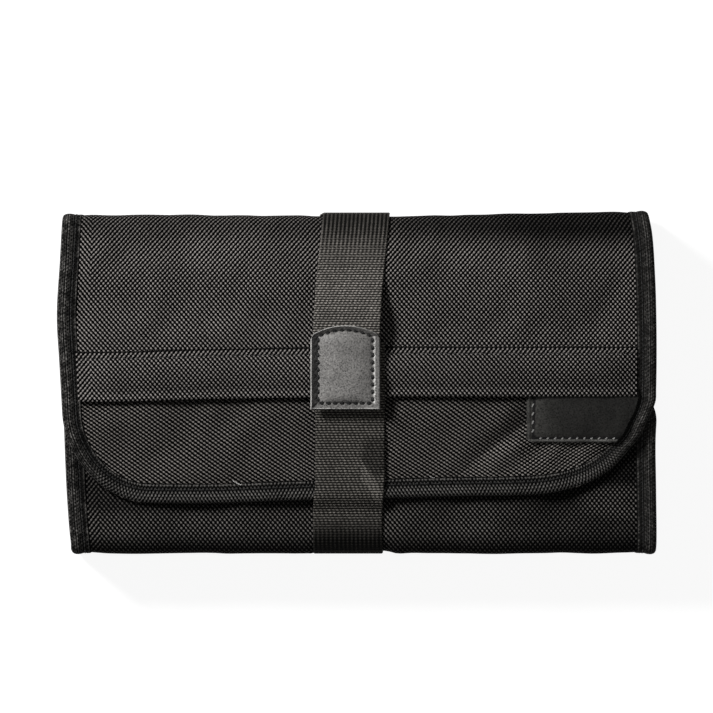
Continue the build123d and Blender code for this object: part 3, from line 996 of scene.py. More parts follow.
def tape_blotches_and_shade(sh, vector, x, y):
    """Duller and blotchy at the bag's two ends, most of all at the flap's left corner, and dimmed towards the right
    with painted shade.
    """
    blotch = sh.noise(vector, 280, 3.0).fit(0.38, 0.62, -0.65, 0.3)
    ends = 1.0 + blotch * abs(x).fit(140 * MM, 155 * MM)
    reach = oval(x, y, (-146 * MM, -45 * MM), (22 * MM, 24 * MM))
    # The last factor is painted shade, dimming the tape towards the right
    return ends * (reach.fit(0.2, 1.3, 0.62, 1.0) * x.fit(110 * MM, 160 * MM, 1.0, 0.72))


def ribbed_tape(name):
    """Binding tape: slanting ribs broken into dots, with a painted highlight along the roll and in a line near the
    inner edge, and painted shade at that edge and in the sewn groove.

    At the bag's two ends the ribs give way to worn streaks along the tape."""
    sh = Shader(name)
    vector, along, across = sh.fabric()
    x, y, _ = sh.split(sh.solid())
    u = wobble(sh, vector, along, 0.5 * MM, 300) / (2.1 * MM)
    v = wobble(sh, vector, across, 0.4 * MM, 260) / (3.5 * MM)
    rib = between((u - v).wave(1.0), (u + v).wave(1.0), sh.noise(vector, 40).fit(0.4, 0.6, 0.36, 0.64))
    # Painted light across the tape: shade at its inner edge and on the sewn leg, highlights along the roll and in a
    # line beside the edge
    roll = across.fit(4.6 * MM, 6.6 * MM) * across.fit(14 * MM, 12 * MM)
    edge = across.fit(0.9 * MM, 1.1 * MM) * across.fit(2.1 * MM, 1.6 * MM)
    shade = across.fit(0.7 * MM, 1.0 * MM, 0.0, 0.32) + (roll * 0.76).at_least(edge * 0.35)
    streak = wobble(sh, vector, across, 0.9 * MM, 200).wave(1.25 * MM).fit(-0.5, 0.9)
    streak = streak * sh.noise(vector, 800, 1.0).fit(0.35, 0.62, 0.2, 0.85)
    ribs = between(rib.fit(-0.3, 0.9), streak, abs(x).fit(142 * MM, 153 * MM, 0.0, 0.75))
    dot = ribs.at_least(edge * 0.6 * sh.noise(vector, 420).fit(0.42, 0.6))
    rows = across.wave(1.9 * MM, 0.8).fit(-0.9, 0.3, 0.35, 1.15)
    level = dot * rows * (0.45 + sh.noise(vector, 2200)) * (0.4 + sh.noise(vector, 70) * 1.2)
    # Towards the right end the darks are lifted a little, to go with the painted shade there
    level = level * (shade * tape_blotches_and_shade(sh, vector, x, y)) + x.fit(110 * MM, 160 * MM, 0.0, 0.04)
    color = sh.mix(level.clamped(), yarn_gap, (0.15, 0.144, 0.136))
    sh.raised(rib, 0.16 * MM)
    return sh.finish(color, 0.7, Specular_IOR_Level=0.01)


def crease_shade_patch(sh, vector, across, along):
    """Painted shade in a patch where the lower strap rides over the flap's edge, and a painted highlight along a
    slanting ridge below it.
    """
    reach = oval(across, along, (15 * MM, bottom.s_at(-41 * MM)), (8 * MM, 11 * MM))
    patch_shade = (reach + (sh.noise(vector, 160) - 0.5) * 1.2).fit(0.4, 1.7, 0.5, 1.0)
    line = bottom.s_at(-59 * MM) - (across - 13 * MM) * 1.4
    off = (along - line) / (6 * MM)
    return patch_shade + (off * off).fit(0.1, 1.2, 1.1, 0.0) * across.fit(5 * MM, 8 * MM)


def webbing(name, chain, dark, bright, row_pitch, folded, fade, crushed=False):
    """Ribbed webbing: rows of short warm dashes, with lengthwise ridges round its bend, dimmed there by painted shade.

    folded is how bright the painted shade leaves the ridges, and fade how far past the bend they reach."""
    sh = Shader(name)
    vector, across, along = sh.fabric()
    u = wobble(sh, vector, across, 1.1 * MM, 380)
    v = wobble(sh, vector, along, 0.35 * MM, 300)
    row = v.wave(row_pitch)
    dash = u.wave(ridge_pitch, round(v / row_pitch) * (math.pi * 0.62))
    ridge = across.wave(ridge_pitch)
    rows = row.fit(-0.8, 1.0, kind="LINEAR") * dash.fit(-0.9, 0.75, 0.3, 1.0)
    # Painted shade round the bend: only the dim ridges show, brightening as the strap comes out on to the panel
    bend = along.fit(chain.second - 4 * MM, chain.second + 4 * MM)
    bend = bend * along.fit(chain.panel - 4 * MM, chain.panel + fade, 1.0, 0.0)
    rising = along.fit(chain.panel - 8 * MM, chain.panel + 8 * MM, folded, 3 * folded)
    level = between(rows, ridge.fit(-0.4, 0.9) * rising, bend)
    level = level * sh.noise(vector, 520, 1.0).fit(0.3, 0.7, 0.8, 1.2)
    level = level * (0.45 + sh.noise(vector, 2400) * 0.9) * (0.6 + sh.noise(vector, 60) * 0.8)
    # Painted shade and highlight where the lower strap crosses the flap's edge
    if crushed:
        level = level * crease_shade_patch(sh, vector, across, along)
    sh.raised(row + ridge * 0.6, 0.14 * MM)
    return sh.finish(sh.mix(level.at_most(1.0), dark, bright), 0.7, Specular_IOR_Level=0.02)


def leather(name, base, light, shine, roughness=0.45, faded=None):
    """Pebbled leather: grain, pores and slightly worn high spots.

    faded is where painted shade darkens it towards the right, from and to."""
    sh = Shader(name)
    vector = sh.solid()
    grain = sh.cells(vector, 950)
    fine = sh.noise(vector, 1000, 3.0)
    level = (grain.fit(0.05, 0.6) + fine.fit(0.3, 0.75)) * 0.6
    level = (level * (0.35 + sh.noise(vector, 90, 3.0))).clamped()
    # Painted shade, darker towards the right
    if faded:
        level = level * sh.split(vector)[0].fit(*faded, 1.0, 0.45)
    sh.raised(grain + fine * 0.6, 0.14 * MM)
    gloss = fine.fit(0.3, 0.7, roughness - 0.07, roughness + 0.08, "LINEAR")
    return sh.finish(sh.mix(level, base, light), gloss, Specular_IOR_Level=shine)


def fine_nylon(name, bright, period):
    """Fine plain weave of the lining, pouches and zip tapes."""
    sh = Shader(name)
    vector, across, along = sh.fabric()
    check = across.wave(period) * along.wave(period)
    level = check.fit(-0.6, 0.9) * (0.4 + sh.noise(vector, 35, 3.0))
    sh.raised(check, 0.05 * MM)
    return sh.finish(sh.mix(level.clamped(), (0.012, 0.012, 0.013), bright), 0.55, Specular_IOR_Level=0.06)


def open_mesh(name):
    """Knitted net: round holes in a staggered pattern."""
    sh = Shader(name)
    vector, across, along = sh.fabric()
    check = across.wave(2.2 * MM) * along.wave(2.2 * MM)
    solid = check.fit(0.15, 0.25, 1.0, 0.0) * check.fit(-0.25, -0.15)
    put(sh.tree, sh.surface.inputs["Alpha"], solid)
    return sh.finish(sh.mix(sh.noise(vector, 2500), (0.012, 0.012, 0.012), (0.07, 0.068, 0.065)), 0.6)


def thread(name, dark, bright):
    """Two twisted plies."""
    sh = Shader(name)
    _, along, around = sh.fabric()
    ply = (along + around).wave(0.5 * MM)
    sh.raised(ply, 0.05 * MM)
    return sh.finish(sh.mix(ply.fit(-1, 1), dark, bright), 0.5, Specular_IOR_Level=0.2)


def hook_pile(name):
    """The matt pile of hook-and-loop."""
    sh = Shader(name)
    vector = sh.solid()
    sh.raised(sh.cells(vector, 900), 0.4 * MM)
    color = sh.mix(sh.noise(vector, 1300, 3.0), (0.006, 0.006, 0.006), (0.06, 0.06, 0.06))
    return sh.finish(color, 0.9, Sheen_Weight=0.2)


def moulded(name):
    """Zip teeth: slightly glossy plastic with tool marks."""
    sh = Shader(name)
    mark = sh.noise(sh.solid(), 700, 3.0)
    sh.raised(mark, 0.03 * MM)
    color = sh.mix(mark, (0.012, 0.012, 0.013), (0.05, 0.05, 0.052))
    return sh.finish(color, mark.fit(0.2, 0.8, 0.45, 0.6, "LINEAR"), Specular_IOR_Level=0.2)


def gunmetal(name):
    """Zip sliders and pulls: dark plated metal, rubbed lighter in places."""
    sh = Shader(name)
    vector = sh.solid()
    rub = sh.noise(vector, 260, 4.0)
    sh.raised(sh.noise(vector, 2400), 0.02 * MM)
    color = sh.mix(rub.fit(0.45, 0.75), (0.09, 0.09, 0.095), (0.30, 0.30, 0.31))
    return sh.finish(color, rub.fit(0.3, 0.7, 0.26, 0.42, "LINEAR"), Metallic=1.0)


yarn_gap = (0.0008, 0.0008, 0.0009)
weave_pitch = (2.5 * MM, 2.93 * MM)
nylon = coarse_nylon("outer_nylon", weave_pitch, (0.33, 0.307, 0.29), upper_lean, top_shade)
nylon_placket = coarse_nylon("placket_nylon", weave_pitch, (0.30, 0.279, 0.264), placket_lean, placket_shade)
nylon_turned = coarse_nylon("outer_nylon_turned", (3.27 * MM, 2.2 * MM), (0.23, 0.213, 0.198),
                            turned_lean, turned_shade)
# The front's copy of the nylon is darker than the flap's: painted shade
nylon_front = coarse_nylon("outer_nylon_front", (2.58 * MM, 3.1 * MM), (0.165, 0.155, 0.145),
                           front_lean, front_shade)
lining = fine_nylon("lining", (0.075, 0.075, 0.08), 0.9 * MM)
pouch_nylon = fine_nylon("pouch_nylon", (0.11, 0.11, 0.118), 1.3 * MM)
zip_cloth = fine_nylon("zip_cloth", (0.05, 0.05, 0.052), 0.8 * MM)
tape = ribbed_tape("binding_tape")
strap_cloth = webbing("strap_webbing", top, (0.004, 0.0039, 0.0035), (0.315, 0.293, 0.268),
                      1.395 * MM, 0.13, 26 * MM)
# The lower strap's copy of the webbing is darker than the upper's: painted shade
strap_cloth_low = webbing("strap_webbing_lower", bottom, (0.0015, 0.0015, 0.0014), (0.185, 0.173, 0.156),
                          1.47 * MM, 0.05, 15 * MM, crushed=True)
tab_leather = leather("tab_leather", (0.012, 0.0117, 0.0113), (0.214, 0.207, 0.199), 0.2)
# Darker and lighter copies of the tab's leather: painted shade on its borders, a painted highlight on its rim
tab_channel = leather("tab_channel", (0.005, 0.005, 0.005), (0.066, 0.064, 0.062), 0.08)
tab_rim = leather("tab_rim", (0.08, 0.078, 0.074), (0.53, 0.52, 0.5), 0.32, roughness=0.4)
tab_edge = leather("tab_edge", (0.008, 0.008, 0.0078), (0.158, 0.153, 0.147), 0.15)
# The label leather is darkened towards the right with painted shade
label_leather = leather("label_leather", (0.002, 0.002, 0.002), (0.043, 0.042, 0.039), 0.04,
                        faded=(low("label_patch").x + 5 * MM, low("label_patch").x + 22 * MM))
label_rim = leather("label_rim", (0.02, 0.02, 0.019), (0.13, 0.127, 0.12), 0.08)
# The sewn groove's near-black copy of the leather is painted shade
label_groove = leather("label_groove", (0.0008, 0.0008, 0.0008), (0.008, 0.008, 0.0078), 0.05, roughness=0.7)
net = open_mesh("pocket_net")
black_thread = thread("black_thread", (0.002, 0.002, 0.002), (0.016, 0.016, 0.016))
grey_thread = thread("grey_thread", (0.08, 0.08, 0.08), (0.36, 0.35, 0.335))
pale_thread = thread("pale_thread", (0.3, 0.295, 0.285), (0.75, 0.74, 0.72))
pile = hook_pile("hook_and_loop")
teeth_plastic = moulded("zip_teeth_plastic")
zip_metal = gunmetal("zip_metal")


# Padded panels

def zip_trough(x, s):
    """Room in the flap for the zip under its placket."""
    off = np.abs(s - top.s_at(zip_y))
    deep = 1 - smooth(off, 4.5 * MM, 6 * MM)
    wide = 1 - smooth(off, 9.2 * MM, 11 * MM)
    end = high("outer_zip_tape").x
    inside = 1 - smooth(np.abs(x), end, end + 2 * MM)
    return inside * (0.9 * MM * (wide + deep) + top.skin(x, s) * wide)


def add_piece(name, soft, cloths, slot_name, nodes, bodies, fold=(), sharp=40):
    """A piece in place of some nodes. One body carries it, or two that share it across a fold."""
    obj = soft.make(name, cloths, sharp)
    if fold:
        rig.blend(obj, *bodies, *fold)
    else:
        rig.ride(obj, bodies)
    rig.replaces(obj, *nodes)
    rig.slot(obj, slot_name)
    return obj


def add_panel(name, soft, cloths, nodes, bodies, fold):
    panel = add_piece(name, soft, cloths, "outer_nylon", nodes, bodies, fold)
    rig.padded(panel, fill=0.5)


def spine_nodes(end):
    return [f"{end}_spine_shell", f"{end}_spine_padding", f"{end}_spine_lining", f"shell_fold_{end}"]


def make_panels():
    back_nodes = ["back_shell", "back_padding", "back_lining", "shell_folds_back"]
    for name, chain, spine in (("upper", top, "top_spine"), ("lower", bottom, "bottom_spine")):
        add_panel(f"back_panel_{name}", padded_panel(chain, 0, chain.middle), [nylon, lining], back_nodes,
                  ("back_section", spine), chain.low_fold())
    flap = padded_panel(top, top.middle, top.end, top.s_at(zip_y), zip_trough)
    flap_nodes = ["flap_shell_upper", "flap_pocket_front", "flap_pocket_back", "flap_padding", "flap_lining"]
    add_panel("flap_panel", flap, [nylon, lining, nylon_turned], flap_nodes + spine_nodes("top"),
              ("top_spine", "flap"), top.high_fold())
    front = padded_panel(bottom, bottom.middle, bottom.end)
    front_nodes = ["front_shell", "front_padding", "front_lining"]
    add_panel("front_panel", front, [nylon_front, lining], front_nodes + spine_nodes("bottom"),
              ("bottom_spine", "front_section"), bottom.high_fold())


def thread_line(chain, stations):
    """The sewn line of a binding, as (x, s, h) points."""
    x, s, nx, ns, _ = stations.T
    return flat_place(x + nx * tape_sewn, s + ns * tape_sewn, leg_skin(chain, x, s, nx, ns) + 0.45 * MM)


def add_thread_ends(soft):
    """Two short loose ends of thread at the inner edge of the flap's binding."""
    for x, y, turn, half, radius in ((-66.0 * MM, -54.4 * MM, -0.5, 2.7 * MM, 0.36 * MM),
                                     (45 * MM, -54 * MM, -0.35, 1.7 * MM, 0.15 * MM)):
        t = np.linspace(-1, 1, 7)[:, None]
        px = x + half * t * math.cos(turn) - 0.4 * MM * t * t
        ps = top.s_at(y + half * t * math.sin(turn) + 0.5 * MM * t * t)
        above = top.skin(px, ps) + (1.7 - 0.5 * t) * MM
        angle = np.arange(6)[None, :] * math.pi / 3
        ring = flat_place(px, ps + radius * np.cos(angle), above + radius * np.sin(angle))
        soft.tube(top.place(*np.moveaxis(ring, -1, 0)), ring[..., :2], 2)


def make_binding(name, chain, lines, nodes, bodies, fold, trim=None):
    """Tape along some edges with its sewn thread. trim adds what hangs from it."""
    soft = Soft()
    for stations in lines:
        add_binding(soft, chain, stations)
        add_stitches(soft, chain.place, thread_line(chain, stations), stitch_pitch, 1)
    if trim:
        trim(soft)
    add_piece(name, soft, [tape, black_thread, pale_thread], "binding_tape", nodes, bodies, fold)


def make_bindings():
    for chain, end, panel, section, trim in ((top, "top", "flap", "flap", add_thread_ends),
                                             (bottom, "bottom", "front", "front_section", None)):
        sides = [side_line(side, 0, chain.middle, station) for side in (-1, 1)]
        make_binding(f"back_binding_{end}", chain, sides, ["back_binding", "binding_folds_back"],
                     ("back_section", f"{end}_spine"), chain.low_fold())
        make_binding(f"{panel}_edge_binding", chain, [outline(chain, chain.middle, station)],
                     [f"{panel}_binding", f"{end}_spine_binding", f"binding_fold_{end}"],
                     (f"{end}_spine", section), chain.high_fold(), trim)


# Straps

tab_low, tab_high = low("leather_tab"), high("leather_tab")
strap_lean = flowing([(0, 0), (top.first, 0.8 * MM), (top.middle, 4.2 * MM), (top.second, 4.4 * MM),
                      (top.second + 9 * MM, 3.9 * MM), (top.s_at(78.8 * MM), 2.7 * MM),
                      (top.s_at(63.3 * MM), 1.2 * MM), (top.s_at(52 * MM), 0.1 * MM),
                      (top.s_at(36 * MM), -0.8 * MM), (top.s_at(tab_low.y), -1.6 * MM)])
strap_join = 4 * MM         # from the fold to where a strap end starts


def upper_centre(s):
    return strap_x + strap_lean(s)


def lower_centre(s):
    on_front = smooth(s, bottom.middle, bottom.panel)
    return strap_x - 0.6 * MM * on_front + 1.4 * MM * smooth(s, bottom.s_at(-74 * MM), bottom.s_at(-52 * MM))


def on_skin(chain):
    """Lies on the fabric, and stands a little off it round the top spine."""
    def height(x, s):
        off = 0.9 * MM * bump(s, chain.middle, 18 * MM) if chain is top else 0
        return chain.skin(np.full_like(s, strap_x), s) + 0.35 * MM + off
    return height


def upper_height(x, s):
    """From the fabric up to the level of the hook patch under the tab."""
    lie = smooth(s, top.s_at(66 * MM), top.s_at(tab_high.y) - 4 * MM)
    return on_skin(top)(x, s) * (1 - lie) + (high("hook_patch").z - z_flap) * lie


def lower_height(x, s):
    """Over the front, up on to the flap's edge, over the hem and the placket."""
    on_front, under_loop = z_front + 0.35 * MM, low("loop_patch").z - strap_t
    level = eased([(-120 * MM, on_front), (y_flap_end - 9 * MM, on_front),
                   (y_flap_end + 2 * MM, z_flap + 1.3 * MM), (hem_y - 14 * MM, z_flap + 0.7 * MM),
                   (hem_y - 1 * MM, under_loop - 1.5 * MM), (hem_y + 8 * MM, under_loop),
                   (30 * MM, under_loop)])
    return level(bottom.y_at(s)) - z_front


def plain_place(chain):
    """The chain's mapping without the side shifts, for pieces that keep to their own line."""
    def place(x, s, h):
        points = chain.place(np.zeros_like(x), s, h)
        points[..., 0] = x
        return points
    return place


def add_strap(name, chain, start, end, height, bodies, fold, nodes):
    """One stretch of the strap, from start to end along its chain."""
    centre, share = (upper_centre, 0.99) if chain is top else (lower_centre, 1.025)
    soft = Soft()
    add_webbing(soft, plain_place(chain), steps(start, end, 2 * MM), centre, height, share)
    # Past the back, the lower strap takes its darker copy: painted shade
    cloth = strap_cloth if chain is top or start == 0 else strap_cloth_low
    add_piece(name, soft, [cloth], "webbing", nodes, bodies, fold, sharp=60)


def make_straps():
    for chain, name, end, section in ((top, "upper", "top", "flap"),
                                      (bottom, "lower", "bottom", "front_section")):
        spine = f"{end}_spine"
        add_strap(f"strap_back_{name}", chain, 0, chain.middle, on_skin(chain), ("back_section", spine),
                  chain.low_fold(), ["strap_back", "strap_folds_back"])
        add_strap(f"strap_over_{end}", chain, chain.middle, chain.panel + strap_join, on_skin(chain),
                  (spine, section), chain.high_fold(), [f"strap_{end}", f"strap_fold_{end}"])
    for chain, name, section, height, y_end in ((top, "upper", "flap", upper_height, tab_low.y + 2 * MM),
                                                (bottom, "lower", "front_section", lower_height,
                                                 high("strap_lower_webbing").y)):
        bend = [(0, chain.side * (chain.first - reach), chain.z_panel) for reach in (strap_join, 16 * MM)]
        add_strap(f"strap_end_{name}", chain, chain.panel + strap_join, chain.s_at(y_end), height,
                  (section, f"strap_{name}_end"), bend, [f"strap_{name}_webbing"])


# Placket

placket_half = x_edge - tape_w + 1.5 * MM
placket_right = placket_half - 1.5 * MM
placket_row = seam_y - 4.0 * MM     # its second row of stitches


def placket_shift(x):
    """The seam runs a little uphill to the right, and the hem bows up in the middle."""
    return -1.8 * MM * (1 - smooth(x, -150 * MM, -60 * MM)) + 1.2 * MM * smooth(x, -80 * MM, 20 * MM)


def placket_spot(x, y):
    """Where a point of the plain placket lies in X and Y."""
    return x + top.side_shift(x, top.s_at(y)), y + placket_shift(x)


def placket_levels(x, y):
    """Height of the placket's outer face over the flap's plain level."""
    peak = high("placket").z - z_flap
    rise = (seam_y - y) / (seam_y - hem_y)
    arch = peak * np.sin(math.pi * np.clip(rise, 0, 1) ** 0.9) ** 0.8
    hem = 3.0 * MM * smooth(rise, 0.6, 1.0)
    base = -0.2 * MM + 1.1 * MM * smooth(rise, -0.02, 0.06)
    groove = -0.45 * MM * bump(y, placket_row, 0.7 * MM)
    roll = 0.5 * MM * bump(y, hem_y + 1.2 * MM, 1.2 * MM)
    ends = smooth(x_edge - 6 * MM - np.abs(x), 0, 26 * MM)
    wave = 0.35 * MM * top.waves.at(1.4 * x, 1.4 * y)
    return np.maximum(arch * ends, hem * (0.4 + 0.6 * ends)) + base + groove + roll + wave


def placket_points():
    rows = np.concatenate([steps(seam_y + 0.3 * MM, seam_y - 5.0 * MM, 0.5 * MM),
                           steps(seam_y - 6.3 * MM, hem_y + 2 * MM, 1.6 * MM),
                           steps(hem_y + 1.6 * MM, hem_y, 0.4 * MM)])
    x, y = flat_grid(-placket_half, placket_right, 121, rows)
    return x, y, placket_levels(x, y)


def cloth_length(y, z):
    """Length of a sheet measured along its rows, up and down its folds."""
    return float(np.mean(np.sum(np.hypot(np.diff(y, axis=0), np.diff(z, axis=0)), axis=0)))


def make_placket():
    x, y, level = placket_points()
    edge = 1 - smooth(y, hem_y, hem_y + 1.0 * MM)
    upper = z_flap + level - 0.35 * MM * edge
    soft = Soft()
    ring = sheet_ring(*placket_spot(x, y), upper, upper - 1.15 * MM + 0.5 * MM * edge)
    soft.tube(ring, sheet_ring(x, top.s_at(y), 0, 0)[..., :2], 0)
    line_x = steps(-placket_half + 2 * MM, placket_right - 2 * MM, 2 * MM)
    line_y = np.full_like(line_x, placket_row)
    stations = flat_place(*placket_spot(line_x, line_y), z_flap + placket_levels(line_x, line_y))
    add_stitches(soft, flat_place, stations, 3.4 * MM, 1, radius=0.25 * MM)
    obj = add_piece("storm_placket", soft, [nylon_placket, black_thread], "outer_nylon", ["placket"], "flap")
    flat = (placket_half + placket_right, cloth_length(y, level))
    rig.sheet(obj, flat=flat, held="laid", rests_on=["flap_panel"])


# Leather tab: its outline, and how far in its stitches lie

tab_left, tab_right = tab_low.x - 1.9 * MM, tab_high.x - 1.9 * MM
tab_middle, tab_half = (tab_left + tab_right) / 2, (tab_right - tab_left) / 2
sewn_side, sewn_low, sewn_top = 4.4 * MM, 3.6 * MM, 2.9 * MM


def tab_arch(x):
    """The tab's arched top edge, without its round corners."""
    return tab_high.y - 5.6 * MM * ((x - tab_middle) / tab_half) ** 2


def crowded(count):
    """Numbers from -1 to 1, closer together at both ends."""
    reach = 0.94 * math.pi / 2
    return np.sin(np.linspace(-reach, reach, count)) / math.sin(reach)


def tab_grid():
    """Points over the tab: x, y and the y of the top edge."""
    x = tab_middle + tab_half * crowded(61)[None, :] + np.zeros((101, 1))
    y_top = tab_arch(x) - 2.2 * MM * smooth(np.abs(x - tab_middle), tab_half - 2.6 * MM, tab_half) ** 2
    return x, tab_low.y + (y_top - tab_low.y) * (crowded(101)[:, None] + 1) / 2, y_top


def stitch_pull(value, start, end):
    """1 where a stitch of the tab draws its border in, and -1 halfway between two stitches."""
    pitch = (end - start) / int((end - start) / tab_pitch)
    return np.cos(2 * math.pi * ((value - start) / pitch - 0.5))


def tab_puff(x, y, y_top, inset):
    """The stuffed crown inside the stitches."""
    y_from, y_to = tab_low.y + sewn_low, y_top - sewn_top
    px = np.clip(np.abs(x - tab_middle) / (tab_half - 4.2 * MM), 0, 1)
    py = np.clip(np.abs(y - (y_from + y_to) / 2) / ((y_to - y_from) / 2), 0, 1)
    puff = 0.2 * MM * smooth(inset, 1.05, 1.25) + 3.1 * MM * (1 - px ** 2.1) * (1 - py ** 8)
    return np.where(inset > 0.97, puff, 0)


def tab_levels(x, y, y_top, left, right, below, above):
    """Height over the tab's lower face. The last four are insets from its edges, 1 at the stitches."""
    inset = np.minimum(np.minimum(left, right), np.minimum(below, above))
    lit = smooth(np.minimum(right, below) - np.minimum(left, above), -0.1, 0.3)
    border = smooth(inset, 0, 0.12) - np.clip((inset - 0.16) / 0.8, 0, 1)
    border = 0.6 * MM + (0.9 * MM + 1.2 * MM * lit) * border
    wave = 0.12 * MM * Waves(21, 30 * MM, 8 * MM).at(x, y) * smooth(inset, 0.4, 1)
    in_left, in_right, in_low = tab_left + sewn_side, tab_right - sewn_side, tab_low.y + sewn_low
    pull_y = stitch_pull(y, in_low, tab_arch(in_left) - sewn_top)
    pulled = np.where(np.minimum(left, right) < inset + 0.001, pull_y, stitch_pull(x, in_left, in_right))
    drawn = 0.1 * MM * bump(inset, 1, 0.13) + 0.3 * MM * pulled * bump(inset, 0.8, 0.2)
    return border + tab_puff(x, y, y_top, inset) + wave - drawn


def tab_slots(left, right, inset):
    """Which leather a place takes: crown 0, left border 2 in painted shade, rim 3 as a painted highlight, other border
    4 in painted shade.
    """
    at_left, at_right = left <= inset + 0.001, right <= inset + 0.001
    slots = np.where(inset < 0.95, np.where(at_left, 2, 4), 0)
    # The painted highlight runs round the outer rim except on the right, and on the right just outside the stitches
    rim = (inset < 0.16) & ~at_right | (inset > 0.66) & (inset < 0.97) & at_right
    return np.where(rim, 3, slots)


def sew_tab(soft, z):
    """Stitches down the left side, along the low edge, up the right side and back along the arch."""
    in_low = tab_low.y + sewn_low
    arch_x = np.linspace(tab_right - sewn_side, tab_left + sewn_side, 13)
    arch = flat_place(arch_x, tab_arch(arch_x) - sewn_top, z)
    corners = [arch[-1], (arch_x[-1], in_low, z), (arch_x[0], in_low, z), arch[0]]
    for line in (*zip(corners[:-1], corners[1:]), arch):
        add_stitches(soft, flat_place, line, tab_pitch, 1, length=0.72, radius=0.88 * MM)


def make_tab():
    x, y, y_top = tab_grid()
    left, right = (x - tab_left) / sewn_side, (tab_right - x) / sewn_side
    below, above = (y - tab_low.y) / sewn_low, (y_top - y) / sewn_top
    inset = np.minimum(np.minimum(left, right), np.minimum(below, above))
    ring = sheet_ring(x, y, tab_low.z + tab_levels(x, y, y_top, left, right, below, above), tab_low.z)
    slots = tab_slots(left, right, inset)
    soft = Soft()
    soft.tube(ring, ring[..., :2], np.concatenate([slots, slots[:, ::-1]], axis=1)[:-1])
    sew_tab(soft, tab_low.z + 0.9 * MM)
    leathers = [tab_leather, black_thread, tab_channel, tab_rim, tab_edge]
    add_piece("strap_leather_tab", soft, leathers, "leather", ["leather_tab"], "strap_upper_end", sharp=50)


# Leather label

label_left, label_low = low("label_patch").x - 0.8 * MM, low("label_patch").y - 0.4 * MM
label_sewn = (label_left + 3.5 * MM, label_low + 2.0 * MM)


def binding_line(y):
    """How far right the label reaches at y: just under the inner edge of the flap's binding."""
    x, s, nx, ns, _ = outline(top, top.panel, station).T
    inset = tape_w - 0.8 * MM
    line = top.place(x + nx * inset, s + ns * inset, 0)
    line = line[line[:, 0] > 70 * MM]
    line = line[np.argsort(line[:, 1])]
    return np.interp(y, line[:, 1], line[:, 0])


def label_grid():
    """Points over the label, with its one round corner."""
    rows = steps(label_low, hem_y + 3.5 * MM, 0.8 * MM)[:, None]
    across = (1 - np.cos(np.linspace(0, math.pi, 61))) / 2
    x = label_left + (binding_line(rows) - label_left) * across[None, :]
    y = rows + 0 * x
    corner = 3 * MM
    pull_in = np.clip(corner - (y - label_low), 0, corner)
    return np.maximum(x, label_left + corner - np.sqrt(corner ** 2 - pull_in ** 2)), y


def label_level(x, y):
    """The flap's skin under the label, and the crown that lifts the label off it to the right."""
    crown = 1.1 * MM * smooth(x, label_left + 4 * MM, label_left + 13 * MM)
    return z_flap + top.skin(x, top.s_at(y)), crown


def label_slots(from_left, from_low):
    """Which leather a place takes: plain 0, low rim 2, the sewn groove 3 in painted shade."""
    sewn = (np.abs(from_left - 3.5 * MM) < 0.8 * MM) & (from_low > 1.2 * MM)
    sewn = sewn | (np.abs(from_low - 2.0 * MM) < 0.8 * MM) & (from_left > 2.7 * MM)
    return np.where(from_low < 0.9 * MM, 2, np.where(sewn, 3, 0))


def sew_label(soft):
    """Slanting stitches down its left side and along its low edge."""
    sx, sy = label_sewn
    down = steps(hem_y - 1.5 * MM, sy + 2 * MM, 2 * MM)
    across = steps(sx + 2 * MM, float(binding_line(sy)) - 1 * MM, 2 * MM)
    for x, y, tilt in ((np.full_like(down, sx), down, -0.5), (across, np.full_like(across, sy), 0.7)):
        line = flat_place(x, y, sum(label_level(x, y)) + 1.05 * MM)
        add_stitches(soft, flat_place, line, 4.1 * MM, 1, length=0.55, radius=0.5 * MM, tilt=tilt)


def make_label():
    """Bare leather patch: bevelled, stitched, tucked under the hem and cut off along the binding."""
    x, y = label_grid()
    inset = np.minimum(x - label_left, y - label_low)
    bevel = 0.55 * MM * smooth(inset, 0, 0.9 * MM)
    rim = 0.35 * MM * bump(inset, 1.3 * MM, 0.8 * MM)
    groove = 0.5 * MM * bump(inset, 2.9 * MM, 0.8 * MM)
    wave = 0.25 * MM * Waves(5, 50 * MM, 14 * MM).at(x, y)
    skin, crown = label_level(x, y)
    ring = sheet_ring(x, y, skin + 0.65 * MM + bevel + rim - groove + wave + crown, skin - 0.2 * MM)
    soft = Soft()
    soft.tube(ring, ring[..., :2], label_slots(ring[:-1, :, 0] - label_left, ring[:-1, :, 1] - label_low))
    sew_label(soft)
    leathers = [label_leather, grey_thread, label_rim, label_groove]
    add_piece("leather_label", soft, leathers, "leather", ["label_patch"], "flap", sharp=50)


# Hook and loop

def box_inset(x, y, a, b):
    """Distance in from the sides of the box from a to b."""
    return np.minimum(np.minimum(x - a.x, b.x - x), np.minimum(y - a.y, b.y - y))


def make_closure():
    for node, body in (("hook_patch", "strap_upper_end"), ("loop_patch", "strap_lower_end")):
        a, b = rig.box(node)
        x, y = flat_grid(a.x, b.x, 25, np.linspace(a.y, b.y, 15))
        thin = 0.3 * MM * (1 - smooth(box_inset(x, y, a, b), 0, 1 * MM))
        ring = sheet_ring(x, y, b.z - thin, a.z + thin)
        soft = Soft()
        soft.tube(ring, ring[..., :2], 0)
        add_piece(node + "_pile", soft, [pile], "hook_and_loop", [node], body)


# Inside: pouches, zip tapes and the mesh pocket

pouch_r = 12 * MM
piping_r = 1.1 * MM


def pouch_outline(a, b, rounds=6):
    """Plan of a pouch: x and y round a rectangle with round corners."""
    x_low, x_high, y_low, y_high = a.x + pouch_r, b.x - pouch_r, a.y + pouch_r, b.y - pouch_r
    out = []
    for number, (cx, cy) in enumerate(((x_high, y_high), (x_low, y_high), (x_low, y_low), (x_high, y_low))):
        for t in (number + np.arange(rounds + 1) / rounds) * math.pi / 2:
            out.append((cx + pouch_r * math.cos(t), cy + pouch_r * math.sin(t)))
    return np.array(out)


